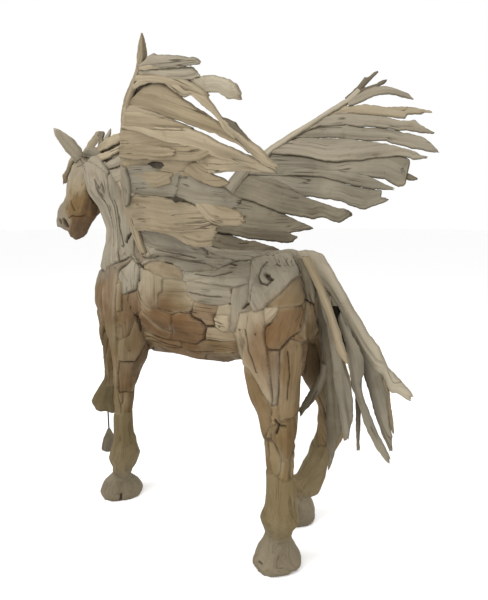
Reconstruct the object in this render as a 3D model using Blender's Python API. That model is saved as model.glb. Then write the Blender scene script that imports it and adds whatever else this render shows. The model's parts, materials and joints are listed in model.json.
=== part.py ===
"""Winged horse sculpture put together from driftwood: real-size construction solids.

Metres, +Z up. The horse faces -Y, its left side is +X, and its hooves stand on z = 0.
"""
import math

import bmesh
import bpy
from mathutils import Matrix, Vector

for item in list(bpy.data.objects):
    bpy.data.objects.remove(item, do_unlink=True)

# Driving sizes in metres
CROUP_HEIGHT = 1.30
GAP = 0.0003
FEATHER_THICKNESS = 0.014
SPAR_THICKNESS = 0.030
GROOVE_DEPTH = 0.07
PROP_ROD_RADIUS = 0.005
PROP_FOOT_HEIGHT = 0.130
RAISED_HOOF_CLEARANCE = 0.245
PROP_FOOT_RADIUS = 0.050
HOOF_HEIGHT = 0.095
LEFT_WING_TILT = math.radians(26)
LEFT_WING_YAW = math.radians(14)
RIGHT_WING_TILT = math.radians(30)
RIGHT_WING_YAW = math.radians(2)

# The pose and proportions are in hands, and the croup stands thirteen hands high
HAND = CROUP_HEIGHT / 13
PROP_OUT = -1.4 * HAND
PROP_BACK = -9.25 * HAND
WING_ROOT_OUT = 1.3 * HAND
WING_ROOT_BACK = -3.3 * HAND
WING_ROOT_UP = 12.4 * HAND

# Trunk stations: back, middle height, half height, half width
TRUNK_STATIONS = [
    (-7.4, 10.6, 0.6, 0.5),
    (-7.0, 10.3, 1.5, 1.2),
    (-6.0, 10.1, 2.3, 1.7),
    (-4.5, 10.2, 2.8, 1.95),
    (-2.5, 10.5, 2.75, 2.1),
    (-0.5, 10.5, 2.65, 2.2),
    (1.5, 10.45, 2.5, 2.25),
    (3.0, 10.7, 2.3, 2.1),
    (4.2, 10.9, 2.1, 1.95),
    (5.2, 11.0, 1.7, 1.5),
    (5.8, 11.1, 0.9, 0.8),
]

# Limb stations: out to the side, back, height, half width, half depth
LEFT_FORELEG = [
    (1.1, -4.0, 11.7, 0.55, 1.0),
    (1.35, -4.2, 10.7, 0.9, 1.5),
    (1.5, -4.0, 9.5, 0.92, 1.45),
    (1.55, -3.72, 8.4, 0.8, 1.15),
    (1.6, -3.8, 7.2, 0.7, 0.9),
    (1.6, -4.1, 6.0, 0.6, 0.65),
    (1.6, -4.3, 4.6, 0.48, 0.52),
    (1.6, -4.45, 3.0, 0.5, 0.55),
    (1.6, -4.55, 2.1, 0.7, 0.75),
    (1.6, -4.6, 1.6, 0.75, 0.8),
    (1.6, -4.7, 1.15, 0.48, 0.5),
]
LEFT_HIND_LEG = [
    (1.1, 4.5, 12.4, 0.6, 0.75),
    (1.3, 4.55, 11.6, 0.95, 1.1),
    (1.5, 4.6, 9.6, 0.95, 1.3),
    (1.6, 4.5, 8.6, 0.9, 1.3),
    (1.6, 4.65, 7.7, 0.8, 1.1),
    (1.6, 4.9, 6.7, 0.7, 0.85),
    (1.6, 4.95, 5.5, 0.6, 0.62),
    (1.6, 4.95, 3.9, 0.55, 0.6),
    (1.6, 4.95, 2.7, 0.62, 0.68),
    (1.6, 4.95, 2.15, 0.75, 0.8),
    (1.6, 4.85, 1.4, 0.46, 0.5),
]
RIGHT_HIND_LEG = [
    (-1.2, 4.5, 11.9, 0.6, 0.8),
    (-1.35, 4.6, 11.0, 0.9, 1.15),
    (-1.5, 4.6, 9.4, 0.95, 1.3),
    (-1.5, 4.9, 8.2, 0.9, 1.25),
    (-1.5, 5.4, 7.2, 0.8, 1.0),
    (-1.5, 5.8, 6.2, 0.65, 0.82),
    (-1.5, 5.5, 4.8, 0.58, 0.68),
    (-1.5, 5.0, 3.4, 0.55, 0.6),
    (-1.6, 4.3, 2.1, 0.72, 0.78),
    (-1.75, 3.95, 1.4, 0.46, 0.5),
]
RIGHT_FORELEG = [
    (-1.1, -4.6, 10.2, 0.75, 0.9),
    (-1.3, -6.2, 9.6, 0.85, 1.2),
    (-1.4, -7.8, 9.0, 0.8, 1.15),
    (-1.4, -8.9, 8.4, 0.75, 1.05),
    (-1.4, -8.85, 7.2, 0.66, 0.72),
    (-1.4, -8.75, 6.0, 0.55, 0.58),
    (-1.4, -8.95, 4.7, 0.46, 0.48),
]
NECK_STATIONS = [
    (0.0, -4.6, 11.2, 1.55, 2.6),
    (0.0, -5.2, 12.6, 1.35, 1.95),
    (0.0, -5.9, 14.0, 1.05, 1.35),
    (0.0, -6.5, 15.2, 0.88, 1.15),
    (0.0, -7.2, 16.4, 0.76, 1.0),
    (0.0, -7.7, 17.1, 0.6, 0.7),
]
# Head stations down its long axis: along, towards the brow, half depth, half width
HEAD_STATIONS = [
    (-0.2, 0.0, 0.6, 0.5),
    (0.5, -0.05, 1.0, 0.75),
    (1.3, -0.2, 1.35, 0.9),
    (2.0, -0.3, 1.5, 0.88),
    (2.7, -0.35, 1.15, 0.7),
    (3.4, -0.3, 1.2, 0.62),
    (4.0, -0.1, 1.0, 0.6),
    (4.4, 0.05, 0.65, 0.48),
]
POLL = (0.0, -8.0, 17.0)
HEAD_SLOPE = math.radians(54.8)

# Feathers in the wing plane, in hands from the wing root: start, end, three widths, bend, layer
LEFT_FEATHERS = [
    ("left_feather_01", (6.5, 7.5), (9.3, 7.0), (0.20, 0.22, 0.10), 0.05, 1),
    ("left_feather_02", (6.4, 7.15), (9.1, 6.65), (0.20, 0.20, 0.08), 0.03, 0),
    ("left_feather_03", (6.2, 6.9), (8.8, 6.3), (0.20, 0.20, 0.08), 0.03, 1),
    ("left_feather_04", (8.5, 6.5), (10.6, 5.75), (0.25, 0.27, 0.12), 0.15, -1),
    ("left_feather_05", (5.8, 6.95), (11.2, 3.75), (0.20, 0.17, 0.08), 0.58, 2),
    ("left_feather_06", (5.1, 6.6), (10.3, 4.3), (0.38, 0.36, 0.08), 0.45, 0),
    ("left_feather_07", (4.2, 6.1), (10.9, 3.6), (0.42, 0.46, 0.08), -0.08, 0),
    ("left_feather_08", (3.2, 5.3), (8.4, 4.5), (0.50, 0.48, 0.20), 0.05, 1),
    ("left_feather_09", (3.9, 4.4), (7.6, 4.15), (0.50, 0.45, 0.12), 0.0, -1),
    ("left_feather_10", (2.2, 3.9), (6.2, 3.75), (0.60, 0.58, 0.35), 0.0, 1),
    ("left_feather_11", (5.6, 4.0), (8.3, 3.75), (0.35, 0.36, 0.10), 0.0, 0),
    ("left_feather_12", (4.6, 3.3), (8.9, 3.3), (0.45, 0.50, 0.12), 0.0, 2),
    ("left_feather_13", (1.5, 2.6), (7.0, 2.55), (0.70, 0.70, 0.30), 0.0, 0),
    ("left_feather_14", (5.0, 2.4), (8.95, 2.3), (0.38, 0.42, 0.25), 0.0, 1),
    ("left_feather_15", (1.2, 1.4), (7.0, 1.45), (0.60, 0.46, 0.20), 0.0, 1),
]
LEFT_SPAR = [(1.0, -0.6), (1.75, 1.5), (1.95, 3.0), (2.9, 4.3), (3.8, 5.4), (4.7, 6.1), (5.6, 6.65), (6.5, 7.4),
             (7.2, 8.2)]
RIGHT_FEATHERS = [
    ("right_twig_01", (7.4, 8.95), (8.6, 10.1), (0.14, 0.15, 0.06), 0.08, 0),
    ("right_twig_02", (7.45, 8.6), (9.1, 9.5), (0.13, 0.13, 0.06), 0.08, 0),
    ("right_twig_03", (7.4, 8.25), (10.6, 8.2), (0.16, 0.22, 0.07), 0.45, 1),
    ("right_feather_01", (6.6, 8.0), (11.5, 7.4), (0.48, 0.50, 0.08), 0.1, 0),
    ("right_feather_02", (5.6, 7.3), (11.8, 6.3), (0.50, 0.55, 0.10), 0.1, 1),
    ("right_feather_03", (4.8, 6.8), (12.1, 5.4), (0.50, 0.52, 0.08), -0.1, 0),
    ("right_feather_04", (4.3, 6.2), (11.7, 5.1), (0.45, 0.48, 0.10), -0.2, 1),
    ("right_feather_05", (3.7, 5.8), (11.1, 4.05), (0.48, 0.50, 0.30), 0.0, 0),
    ("right_feather_06", (3.2, 5.3), (10.6, 3.6), (0.48, 0.48, 0.10), 0.0, 1),
    ("right_feather_07", (2.7, 4.8), (10.4, 3.1), (0.48, 0.48, 0.12), 0.0, 0),
    ("right_feather_08", (2.3, 4.1), (9.2, 2.35), (0.55, 0.55, 0.15), 0.0, 1),
    ("right_feather_09", (2.1, 3.3), (7.3, 1.8), (0.55, 0.60, 0.15), 0.0, 0),
    ("right_feather_10", (1.9, 2.4), (6.7, 1.3), (0.55, 0.55, 0.15), 0.0, 1),
    ("right_feather_11", (1.6, 1.5), (5.9, 0.75), (0.45, 0.40, 0.12), 0.0, 0),
]
RIGHT_SPAR = [(0.8, -0.6), (1.6, 2.0), (2.4, 4.2), (3.7, 5.8), (5.4, 7.1), (7.1, 8.4), (7.9, 9.2)]

# Tail strands in the middle plane, in hands: points of the line (back, up), radii, shift to the side
TAIL_STRANDS = [
    ("tail_main_branch", [(5.1, 12.2), (6.0, 11.6), (6.9, 10.3), (7.8, 9.15), (8.9, 8.2), (9.55, 7.9)],
     [0.55, 0.6, 0.6, 0.55, 0.38, 0.12], 0.0),
    ("tail_fork", [(7.4, 9.5), (8.0, 8.3), (8.55, 7.2), (8.9, 5.9)], [0.35, 0.36, 0.3, 0.08], 0.0),
    ("tail_long_strand", [(6.3, 10.0), (7.0, 8.6), (7.9, 6.7), (8.8, 5.1)], [0.24, 0.2, 0.15, 0.06], 0.75),
    ("tail_curved_strand", [(5.4, 12.0), (6.1, 10.8), (6.5, 9.4), (6.9, 8.7)], [0.28, 0.24, 0.2, 0.08], 1.3),
    ("tail_thin_strand", [(5.4, 11.2), (6.1, 9.4), (6.4, 8.0), (7.0, 5.5)], [0.3, 0.24, 0.18, 0.06], 0.85),
    ("tail_broad_strand", [(5.3, 11.0), (5.8, 9.4), (6.1, 7.2), (6.2, 4.0)], [0.45, 0.45, 0.4, 0.1], 0.15),
    ("tail_side_branch", [(5.9, 9.4), (5.65, 8.2), (4.9, 6.1)], [0.2, 0.18, 0.06], 0.4),
]

MANE_LOCKS = [
    ("mane_lock_1", (0.0, -7.7, 17.0), (0.0, -7.0, 18.2), 0.35),
    ("mane_lock_2", (0.0, -7.2, 16.9), (0.0, -6.5, 18.3), 0.38),
    ("mane_lock_3", (0.0, -6.7, 16.6), (0.0, -6.2, 18.6), 0.4),
    ("mane_lock_4", (0.0, -6.0, 15.9), (0.0, -5.4, 17.7), 0.4),
    ("mane_lock_5", (0.0, -5.4, 15.0), (0.0, -4.7, 16.8), 0.4),
]


def hands(*values):
    return Vector([value * HAND for value in values])


def make_material(name, color, roughness, metallic=0.0):
    material = bpy.data.materials.new(name)
    material.use_nodes = True
    shader = material.node_tree.nodes["Principled BSDF"]
    shader.inputs["Base Color"].default_value = (*color, 1.0)
    shader.inputs["Roughness"].default_value = roughness
    shader.inputs["Metallic"].default_value = metallic
    return material


def finish_object(name, bm, color, roughness=0.85, metallic=0.0):
    bmesh.ops.recalc_face_normals(bm, faces=bm.faces)
    bmesh.ops.triangulate(bm, faces=bm.faces)
    mesh = bpy.data.meshes.new(name)
    bm.to_mesh(mesh)
    bm.free()
    mesh.materials.append(make_material(name + "_finish", color, roughness, metallic))
    item = bpy.data.objects.new(name, mesh)
    bpy.context.scene.collection.objects.link(item)
    return item


def add_ring(bm, centre, side_axis, depth_axis, half_width, half_depth, sides, groove_start):
    """One closed ring of vertices, with a groove at every third vertex."""
    ring = bmesh.ops.create_circle(bm, segments=sides, radius=1.0)["verts"]
    for index, vert in enumerate(ring):
        angle = math.tau * index / sides
        reach = 1.0 - (GROOVE_DEPTH if (index + groove_start) % 3 == 0 else 0.0)
        vert.co = (centre + side_axis * (half_width * reach * math.cos(angle))
                   + depth_axis * (half_depth * reach * math.sin(angle)))
    return ring


def ring_edges(ring):
    return [edge for edge in {edge for vert in ring for edge in vert.link_edges}
            if edge.verts[0] in ring and edge.verts[1] in ring]


def skin_rings(bm, rings):
    """Bridge the rings in turn and close both ends."""
    loops = [ring_edges(ring) for ring in rings]
    for first, second in zip(loops, loops[1:]):
        bmesh.ops.bridge_loops(bm, edges=first + second)
    bmesh.ops.contextual_create(bm, geom=loops[0])
    bmesh.ops.contextual_create(bm, geom=loops[-1])


def limb(name, stations, color, sides=15, hoof=None, tilt_rings=True):
    """A carved limb through its stations, with its hoof below where one is given."""
    bm = bmesh.new()
    rings = []
    points = [hands(*station[:3]) for station in stations]
    for index, station in enumerate(stations):
        before = points[max(index - 1, 0)]
        after = points[min(index + 1, len(points) - 1)]
        along = (after - before).normalized()
        side_axis = Vector((1, 0, 0))
        if tilt_rings:
            depth_axis = along.cross(side_axis).normalized()
        else:
            depth_axis = Vector((0, 1, 0)) if abs(along.z) > 0.5 else Vector((0, 0, 1))
        if depth_axis.y < 0 and abs(depth_axis.y) > 0.3:
            depth_axis.negate()
        half_width, half_depth = station[3] * HAND, station[4] * HAND
        rings.append(add_ring(bm, points[index], side_axis, depth_axis, half_width, half_depth, sides, index // 2))
    if hoof:
        rings += add_hoof(bm, points[-1], sides, **hoof)
    skin_rings(bm, rings)
    return finish_object(name, bm, color)


def add_hoof(bm, ankle, sides, radius, top_radius, top, bottom, forward=0.0):
    """Three level rings: the coronet, the flared wall and the flat sole."""
    rings = []
    for height, reach, shift in ((top, top_radius, 0.3), (bottom + 0.25 * (top - bottom), radius, 0.8),
                                 (bottom, radius, 1.0)):
        centre = Vector((ankle.x, ankle.y - forward * shift, height))
        rings.append(add_ring(bm, centre, Vector((1, 0, 0)), Vector((0, 1, 0)), reach, reach, sides, 1))
    return rings


def trunk():
    bm = bmesh.new()
    rings = []
    for index, (back, height, half_height, half_width) in enumerate(TRUNK_STATIONS):
        rings.append(add_ring(bm, hands(0, back, height), Vector((1, 0, 0)), Vector((0, 0, 1)),
                              half_width * HAND, half_height * HAND, 24, index // 2))
    skin_rings(bm, rings)
    return finish_object("trunk", bm, (0.42, 0.33, 0.24))


def head():
    bm = bmesh.new()
    along = Vector((0, -math.cos(HEAD_SLOPE), -math.sin(HEAD_SLOPE)))
    brow = Vector((0, -math.sin(HEAD_SLOPE), math.cos(HEAD_SLOPE)))
    rings = []
    for index, (distance, rise, half_depth, half_width) in enumerate(HEAD_STATIONS):
        centre = hands(*POLL) + along * (distance * HAND) + brow * (rise * HAND)
        rings.append(add_ring(bm, centre, Vector((1, 0, 0)), brow, half_width * HAND, half_depth * HAND, 16, index // 2))
    skin_rings(bm, rings)
    return finish_object("head", bm, (0.36, 0.25, 0.17))


def spindle(name, points, radii, color, sides=8, flatten=0.7):
    """A tapering stick through the points."""
    bm = bmesh.new()
    rings = []
    for index, point in enumerate(points):
        along = (points[min(index + 1, len(points) - 1)] - points[max(index - 1, 0)]).normalized()
        side_axis = Vector((1, 0, 0))
        depth_axis = along.cross(side_axis).normalized()
        rings.append(add_ring(bm, point, side_axis, depth_axis, radii[index] * flatten, radii[index], sides, index))
    skin_rings(bm, rings)
    return finish_object(name, bm, color)


def along_board(start, end, bend, share):
    """A point of the centre line of a bent board, and its crosswise direction."""
    line = end - start
    crosswise = Vector((-line.y, line.x)).normalized()
    point = start + line * share + crosswise * (bend * 4 * share * (1 - share))
    return point, crosswise


def board_width(root_width, middle_width, tip_width, share):
    """Half width along a board: full to two thirds of its length, then a rounded taper."""
    if share < 0.66:
        return root_width + (middle_width - root_width) * share / 0.66
    return tip_width + (middle_width - tip_width) * (1 - ((share - 0.66) / 0.34) ** 1.7)


def feather(name, start, end, widths, bend, layer, color, wing, steps=6):
    """A bent board with a shallow groove down its middle, lying in its layer of the wing."""
    bm = bmesh.new()
    start, end = Vector(start) * HAND, Vector(end) * HAND
    lift = layer * (FEATHER_THICKNESS + GAP)
    grid = bmesh.ops.create_grid(bm, x_segments=steps, y_segments=2, size=1.0)["verts"]
    for vert in grid:
        share, across = (vert.co.x + 1) / 2, vert.co.y
        point, crosswise = along_board(start, end, bend * HAND, share)
        root_width, middle_width, tip_width = (width * HAND for width in widths)
        width = board_width(root_width, middle_width, tip_width, share)
        place = point + crosswise * (across * width)
        ridge = FEATHER_THICKNESS * (0.72 if abs(across) < 0.5 else 1.0)
        vert.co = (place.x, place.y, lift + ridge)
    top = bm.faces[:]
    made = bmesh.ops.extrude_face_region(bm, geom=top)["geom"]
    for vert in (piece for piece in made if isinstance(piece, bmesh.types.BMVert)):
        vert.co.z = lift
    item = finish_object(name, bm, color)
    item.parent = wing
    return item


def spar(name, line, color, wing):
    """The leading board of a wing, behind its feathers."""
    bm = bmesh.new()
    rings = []
    for index, place in enumerate(line):
        before, after = line[max(index - 1, 0)], line[min(index + 1, len(line) - 1)]
        along = (Vector(after) - Vector(before)).normalized()
        crosswise = Vector((-along.y, along.x, 0))
        half = (0.38 - 0.3 * (index / (len(line) - 1)) ** 3) * HAND
        centre = Vector((place[0] * HAND, place[1] * HAND, 0))
        corners = [centre + crosswise * side * half + Vector((0, 0, depth))
                   for side, depth in ((1, -GAP), (-1, -GAP), (-1, -GAP - SPAR_THICKNESS), (1, -GAP - SPAR_THICKNESS))]
        ring = bmesh.ops.create_circle(bm, segments=4, radius=1.0)["verts"]
        for vert, corner in zip(ring, corners):
            vert.co = corner
        rings.append(ring)
    skin_rings(bm, rings)
    item = finish_object(name, bm, color)
    item.parent = wing
    return item


def wing_frame(name, side, yaw, tilt):
    """An empty at the wing root: local X runs back, local Y up the wing."""
    frame = bpy.data.objects.new(name, None)
    bpy.context.scene.collection.objects.link(frame)
    back = Vector((side * math.sin(yaw), math.cos(yaw), 0))
    out = Vector((side * math.cos(yaw), -math.sin(yaw), 0))
    up = out * math.sin(tilt) + Vector((0, 0, math.cos(tilt)))
    normal = back.cross(up)
    turn = Matrix((back, up, normal)).transposed().to_4x4()
    frame.matrix_world = Matrix.Translation((side * WING_ROOT_OUT, WING_ROOT_BACK, WING_ROOT_UP)) @ turn
    return frame


def ear(name, side):
    bm = bmesh.new()
    base, tip = hands(side * 0.45, -8.45, 17.2), hands(side * 1.9, -8.4, 18.75)
    along = tip - base
    side_axis = Vector((1, 0, 0))
    depth_axis = along.cross(side_axis).normalized()
    rings = []
    for share, width in ((0.0, 0.3), (0.3, 0.42), (0.65, 0.3), (1.0, 0.05)):
        rings.append(add_ring(bm, base + along * share, side_axis, depth_axis, width * 0.55 * HAND, width * HAND, 8, 0))
    skin_rings(bm, rings)
    return finish_object(name, bm, (0.40, 0.31, 0.23))


def prop_rod():
    bm = bmesh.new()
    length = RAISED_HOOF_CLEARANCE - PROP_FOOT_HEIGHT - 2 * GAP
    bmesh.ops.create_cone(bm, cap_ends=True, segments=12, radius1=PROP_ROD_RADIUS, radius2=PROP_ROD_RADIUS, depth=length)
    item = finish_object("prop_rod", bm, (0.05, 0.05, 0.05), 0.45, 0.8)
    item.location = (PROP_OUT, PROP_BACK, PROP_FOOT_HEIGHT + GAP + length / 2)
    return item


def prop_foot():
    bm = bmesh.new()
    rings = []
    for share, reach in ((0.0, 1.0), (0.2, 0.95), (0.55, 0.72), (0.8, 0.42), (1.0, 0.2)):
        rings.append(add_ring(bm, Vector((0, 0, share * PROP_FOOT_HEIGHT)), Vector((1, 0, 0)), Vector((0, 1, 0)),
                              reach * PROP_FOOT_RADIUS, reach * PROP_FOOT_RADIUS, 15, 0))
    skin_rings(bm, rings)
    item = finish_object("prop_foot", bm, (0.40, 0.33, 0.26))
    item.location = (PROP_OUT, PROP_BACK, 0)
    return item


def swollen_copy(item):
    """A copy of the piece grown by the gap, to cut a seat with."""
    depsgraph = bpy.context.evaluated_depsgraph_get()
    mesh = bpy.data.meshes.new_from_object(item.evaluated_get(depsgraph))
    bm = bmesh.new()
    bm.from_mesh(mesh)
    bm.normal_update()
    moves = [(vert, vert.normal * GAP * 1.5) for vert in bm.verts]
    for vert, move in moves:
        vert.co += move
    bm.to_mesh(mesh)
    bm.free()
    cutter = bpy.data.objects.new("cutter", mesh)
    cutter.matrix_world = item.matrix_world
    bpy.context.scene.collection.objects.link(cutter)
    return cutter


def seat(item, neighbours):
    """Cut the neighbours' room out of the piece and keep the cut mesh."""
    cutters = [swollen_copy(neighbour) for neighbour in neighbours]
    for cutter in cutters:
        modifier = item.modifiers.new("seat", "BOOLEAN")
        modifier.operation = "DIFFERENCE"
        modifier.solver = "EXACT"
        modifier.object = cutter
    bpy.context.view_layer.update()
    depsgraph = bpy.context.evaluated_depsgraph_get()
    mesh = bpy.data.meshes.new_from_object(item.evaluated_get(depsgraph))
    item.modifiers.clear()
    item.data = mesh
    for cutter in cutters:
        bpy.data.objects.remove(cutter, do_unlink=True)


def fuse(item, other):
    """Join two stretches of one piece of wood into one closed solid."""
    modifier = item.modifiers.new("fuse", "BOOLEAN")
    modifier.operation = "UNION"
    modifier.solver = "EXACT"
    modifier.object = other
    bpy.context.view_layer.update()
    depsgraph = bpy.context.evaluated_depsgraph_get()
    mesh = bpy.data.meshes.new_from_object(item.evaluated_get(depsgraph))
    item.modifiers.clear()
    item.data = mesh
    bpy.data.objects.remove(other, do_unlink=True)


def centre_on_origin():
    """Slide the whole work so that the middle of its outline is over the origin."""
    bpy.context.view_layer.update()
    solids = [item for item in bpy.data.objects if item.type == "MESH"]
    corners = [item.matrix_world @ vert.co for item in solids for vert in item.data.vertices]
    shift = Vector((0, 0, 0))
    for axis in (0, 1):
        shift[axis] = -(min(corner[axis] for corner in corners) + max(corner[axis] for corner in corners)) / 2
    for item in bpy.data.objects:
        if item.parent is None:
            item.location += shift
    bpy.context.view_layer.update()


def main():
    legs = [
        limb("foreleg_left", LEFT_FORELEG, (0.44, 0.34, 0.24),
             hoof={"radius": 0.098, "top_radius": 0.062, "top": HOOF_HEIGHT, "bottom": 0.0, "forward": 0.02}),
        limb("hindleg_left", LEFT_HIND_LEG, (0.44, 0.34, 0.24),
             hoof={"radius": 0.100, "top_radius": 0.062, "top": HOOF_HEIGHT, "bottom": 0.0, "forward": 0.02}),
        limb("hindleg_right", RIGHT_HIND_LEG, (0.44, 0.34, 0.24),
             hoof={"radius": 0.098, "top_radius": 0.062, "top": HOOF_HEIGHT, "bottom": 0.0, "forward": 0.02}),
        limb("foreleg_right", RIGHT_FORELEG, (0.44, 0.34, 0.24),
             hoof={"radius": 0.078, "top_radius": 0.052, "top": 3.9 * HAND, "bottom": RAISED_HOOF_CLEARANCE, "forward": 0.045}),
    ]
    body = trunk()
    bpy.context.view_layer.update()
    neck = limb("neck", NECK_STATIONS, (0.42, 0.33, 0.24), sides=18)
    seat(neck, [body] + legs)
    skull = head()
    seat(skull, [neck])
    ears = [ear("ear_left", 1), ear("ear_right", -1)]
    for item in ears:
        seat(item, [skull, neck])
    forelock = spindle("forelock", [hands(0, -8.6, 17.45), hands(0, -9.7, 16.75), hands(0, -10.35, 15.8)],
                       [0.28 * HAND, 0.36 * HAND, 0.1 * HAND], (0.28, 0.2, 0.14))
    seat(forelock, [skull, neck] + ears)
    locks = []
    for name, base, tip, width in MANE_LOCKS:
        base, tip = hands(*base), hands(*tip)
        lock = spindle(name, [base, base.lerp(tip, 0.5), tip], [width * HAND, 0.8 * width * HAND, 0.06 * HAND],
                       (0.38, 0.31, 0.24))
        seat(lock, [skull, neck, forelock] + locks)
        locks.append(lock)
    strands = []
    for name, line, radii, shift in TAIL_STRANDS:
        strand = spindle(name, [hands(shift, *place) for place in line], [radius * HAND for radius in radii],
                         (0.40, 0.34, 0.27))
        if name == "tail_fork":
            fuse(strands[0], strand)
            continue
        seat(strand, [body, legs[1], legs[2]] + strands)
        strands.append(strand)
    wings = (
        ("left", 1, LEFT_WING_YAW, LEFT_WING_TILT, LEFT_FEATHERS, LEFT_SPAR, (0.45, 0.38, 0.29)),
        ("right", -1, RIGHT_WING_YAW, RIGHT_WING_TILT, RIGHT_FEATHERS, RIGHT_SPAR, (0.36, 0.29, 0.22)),
    )
    for word, side, yaw, tilt, feathers, line, color in wings:
        frame = wing_frame("wing_frame_" + word, side, yaw, tilt)
        spar_item = spar("wing_spar_" + word, line, color, frame)
        boards = [feather(*row, color, frame) for row in feathers]
        bpy.context.view_layer.update()
        for item in [spar_item] + boards[-3:]:
            seat(item, [body, neck, legs[0], legs[3]])
    seat(body, legs)
    prop_foot()
    prop_rod()
    centre_on_origin()


main()
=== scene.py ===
import json
import math
import bpy
import bmesh
import numpy as np
from mathutils import Euler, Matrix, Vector
from mathutils.bvhtree import BVHTree

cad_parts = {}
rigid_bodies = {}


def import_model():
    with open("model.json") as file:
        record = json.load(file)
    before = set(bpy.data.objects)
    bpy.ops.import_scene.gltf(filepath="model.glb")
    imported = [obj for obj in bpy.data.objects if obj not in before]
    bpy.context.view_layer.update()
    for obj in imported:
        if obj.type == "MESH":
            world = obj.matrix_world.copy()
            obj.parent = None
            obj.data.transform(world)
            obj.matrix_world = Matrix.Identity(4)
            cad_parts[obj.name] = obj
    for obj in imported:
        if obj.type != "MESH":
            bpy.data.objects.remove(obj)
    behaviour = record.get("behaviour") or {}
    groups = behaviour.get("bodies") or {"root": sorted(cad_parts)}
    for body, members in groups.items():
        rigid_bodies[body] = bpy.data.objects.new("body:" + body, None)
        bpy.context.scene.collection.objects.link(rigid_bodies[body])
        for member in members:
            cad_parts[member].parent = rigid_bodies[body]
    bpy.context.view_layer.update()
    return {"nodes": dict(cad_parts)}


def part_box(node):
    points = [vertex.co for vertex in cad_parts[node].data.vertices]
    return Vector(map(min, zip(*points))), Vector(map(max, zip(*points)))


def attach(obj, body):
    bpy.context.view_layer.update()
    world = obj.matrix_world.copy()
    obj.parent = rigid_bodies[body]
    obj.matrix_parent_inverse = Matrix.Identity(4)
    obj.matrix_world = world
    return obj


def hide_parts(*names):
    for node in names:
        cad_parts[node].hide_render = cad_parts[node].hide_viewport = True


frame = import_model()
print("frame loaded")

sceneLinks = bpy.context.scene.collection.objects

# Camera, at the height of a standing viewer behind the horse's left hip
cameraSet = {"place": (1.800, 1.537, 1.462), "turn": (80.0, 0.0, 125.0), "focal": 508.0,
             "width": 488.0, "height": 600.0, "sensor": 36.0}
viewAngles = [math.radians(angle) for angle in cameraSet["turn"]]
viewTurn = Euler(viewAngles).to_matrix()
viewPlace = Vector(cameraSet["place"])
viewAxes = np.array(viewTurn)
viewPoint = np.array(viewPlace)


def placeCamera():
    data = bpy.data.cameras.new("photoCamera")
    data.sensor_fit = "VERTICAL"
    data.sensor_height = cameraSet["sensor"]
    data.lens = cameraSet["focal"] * cameraSet["sensor"] / cameraSet["height"]
    camera = bpy.data.objects.new("photoCamera", data)
    camera.location = viewPlace
    camera.rotation_euler = viewAngles
    sceneLinks.link(camera)
    bpy.context.scene.camera = camera


def sightLine(x, y):  # direction from the camera through one place of the photo frame
    local = Vector(((x - cameraSet["width"] / 2) / cameraSet["focal"],
                    -(y - cameraSet["height"] / 2) / cameraSet["focal"], -1.0))
    return viewTurn @ local


def toPhoto(points):  # photo frame places and depths of an array of points
    turned = (points - viewPoint) @ viewAxes
    depth = -turned[:, 2]
    x = cameraSet["width"] / 2 + cameraSet["focal"] * turned[:, 0] / depth
    y = cameraSet["height"] / 2 - cameraSet["focal"] * turned[:, 1] / depth
    return np.stack([x, y], 1), depth


# Wood colours by name, linear
woods = {
    "silver": (0.205, 0.180, 0.134),
    "ash": (0.168, 0.148, 0.110),
    "straw": (0.262, 0.210, 0.130),
    "sand": (0.280, 0.232, 0.156),
    "pale": (0.330, 0.290, 0.215),
    "khaki": (0.150, 0.113, 0.055),
    "tan": (0.165, 0.112, 0.055),
    "honey": (0.125, 0.077, 0.030),
    "rust": (0.108, 0.056, 0.021),
    # no wood: painted shadow for dark openings between boards
    "hollow": (0.016, 0.012, 0.008),
    "umber": (0.070, 0.043, 0.023),
    "dusk": (0.105, 0.088, 0.060),
    "hoof": (0.165, 0.136, 0.090),
    "dun": (0.228, 0.183, 0.116),
    "slate": (0.138, 0.119, 0.084),
}


class Wire:
    def __init__(self, tree, socket=None):
        self.tree = tree
        self.socket = socket

    def add(self, kind, settings, links, out=0):  # settings first, then values and links of sockets
        node = self.tree.nodes.new(kind)
        for key, value in settings.items():
            if key == "stops":
                ramp = node.color_ramp
                while len(ramp.elements) < len(value):
                    ramp.elements.new(0.5)
                for element, (place, color) in zip(ramp.elements, value):
                    element.position = place
                    element.color = (*color, 1.0)
            else:
                setattr(node, key, value)
        for key, value in links.items():
            if isinstance(value, Wire):
                self.tree.links.new(value.socket, node.inputs[key])
            else:
                node.inputs[key].default_value = value
        return Wire(self.tree, node.outputs[out])

    def maths(self, operation, first, second=0.0, clamp=False):
        return self.add("ShaderNodeMath", {"operation": operation, "use_clamp": clamp},
                        {0: first, 1: second})

    def __add__(self, other):
        return self.maths("ADD", self, other)

    def __radd__(self, other):
        return self.maths("ADD", other, self)

    def __sub__(self, other):
        return self.maths("SUBTRACT", self, other)

    def __rsub__(self, other):
        return self.maths("SUBTRACT", other, self)

    def __mul__(self, other):
        return self.maths("MULTIPLY", self, other)

    def __rmul__(self, other):
        return self.maths("MULTIPLY", other, self)

    def distance(self, other):
        away = self - other
        return away.maths("ABSOLUTE", away)

    def band(self, low, high, first=0.0, last=1.0):  # smooth step between two values
        return self.add("ShaderNodeMapRange", {"interpolation_type": "SMOOTHSTEP"},
                        {0: self, 1: low, 2: high, 3: first, 4: last})

    def stretched(self, scale):
        return self.add("ShaderNodeVectorMath", {"operation": "MULTIPLY"}, {0: self, 1: scale})

    def noise(self, scale, detail=3.0, rough=0.55):
        return self.add("ShaderNodeTexNoise", {},
                        {"Vector": self, "Scale": scale, "Detail": detail, "Roughness": rough})

    def blend(self, first, second, mode="MIX"):  # this value mixes two colours
        return self.add("ShaderNodeMix", {"data_type": "RGBA", "blend_type": mode},
                        {0: self, 6: first, 7: second}, out=2)


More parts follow.
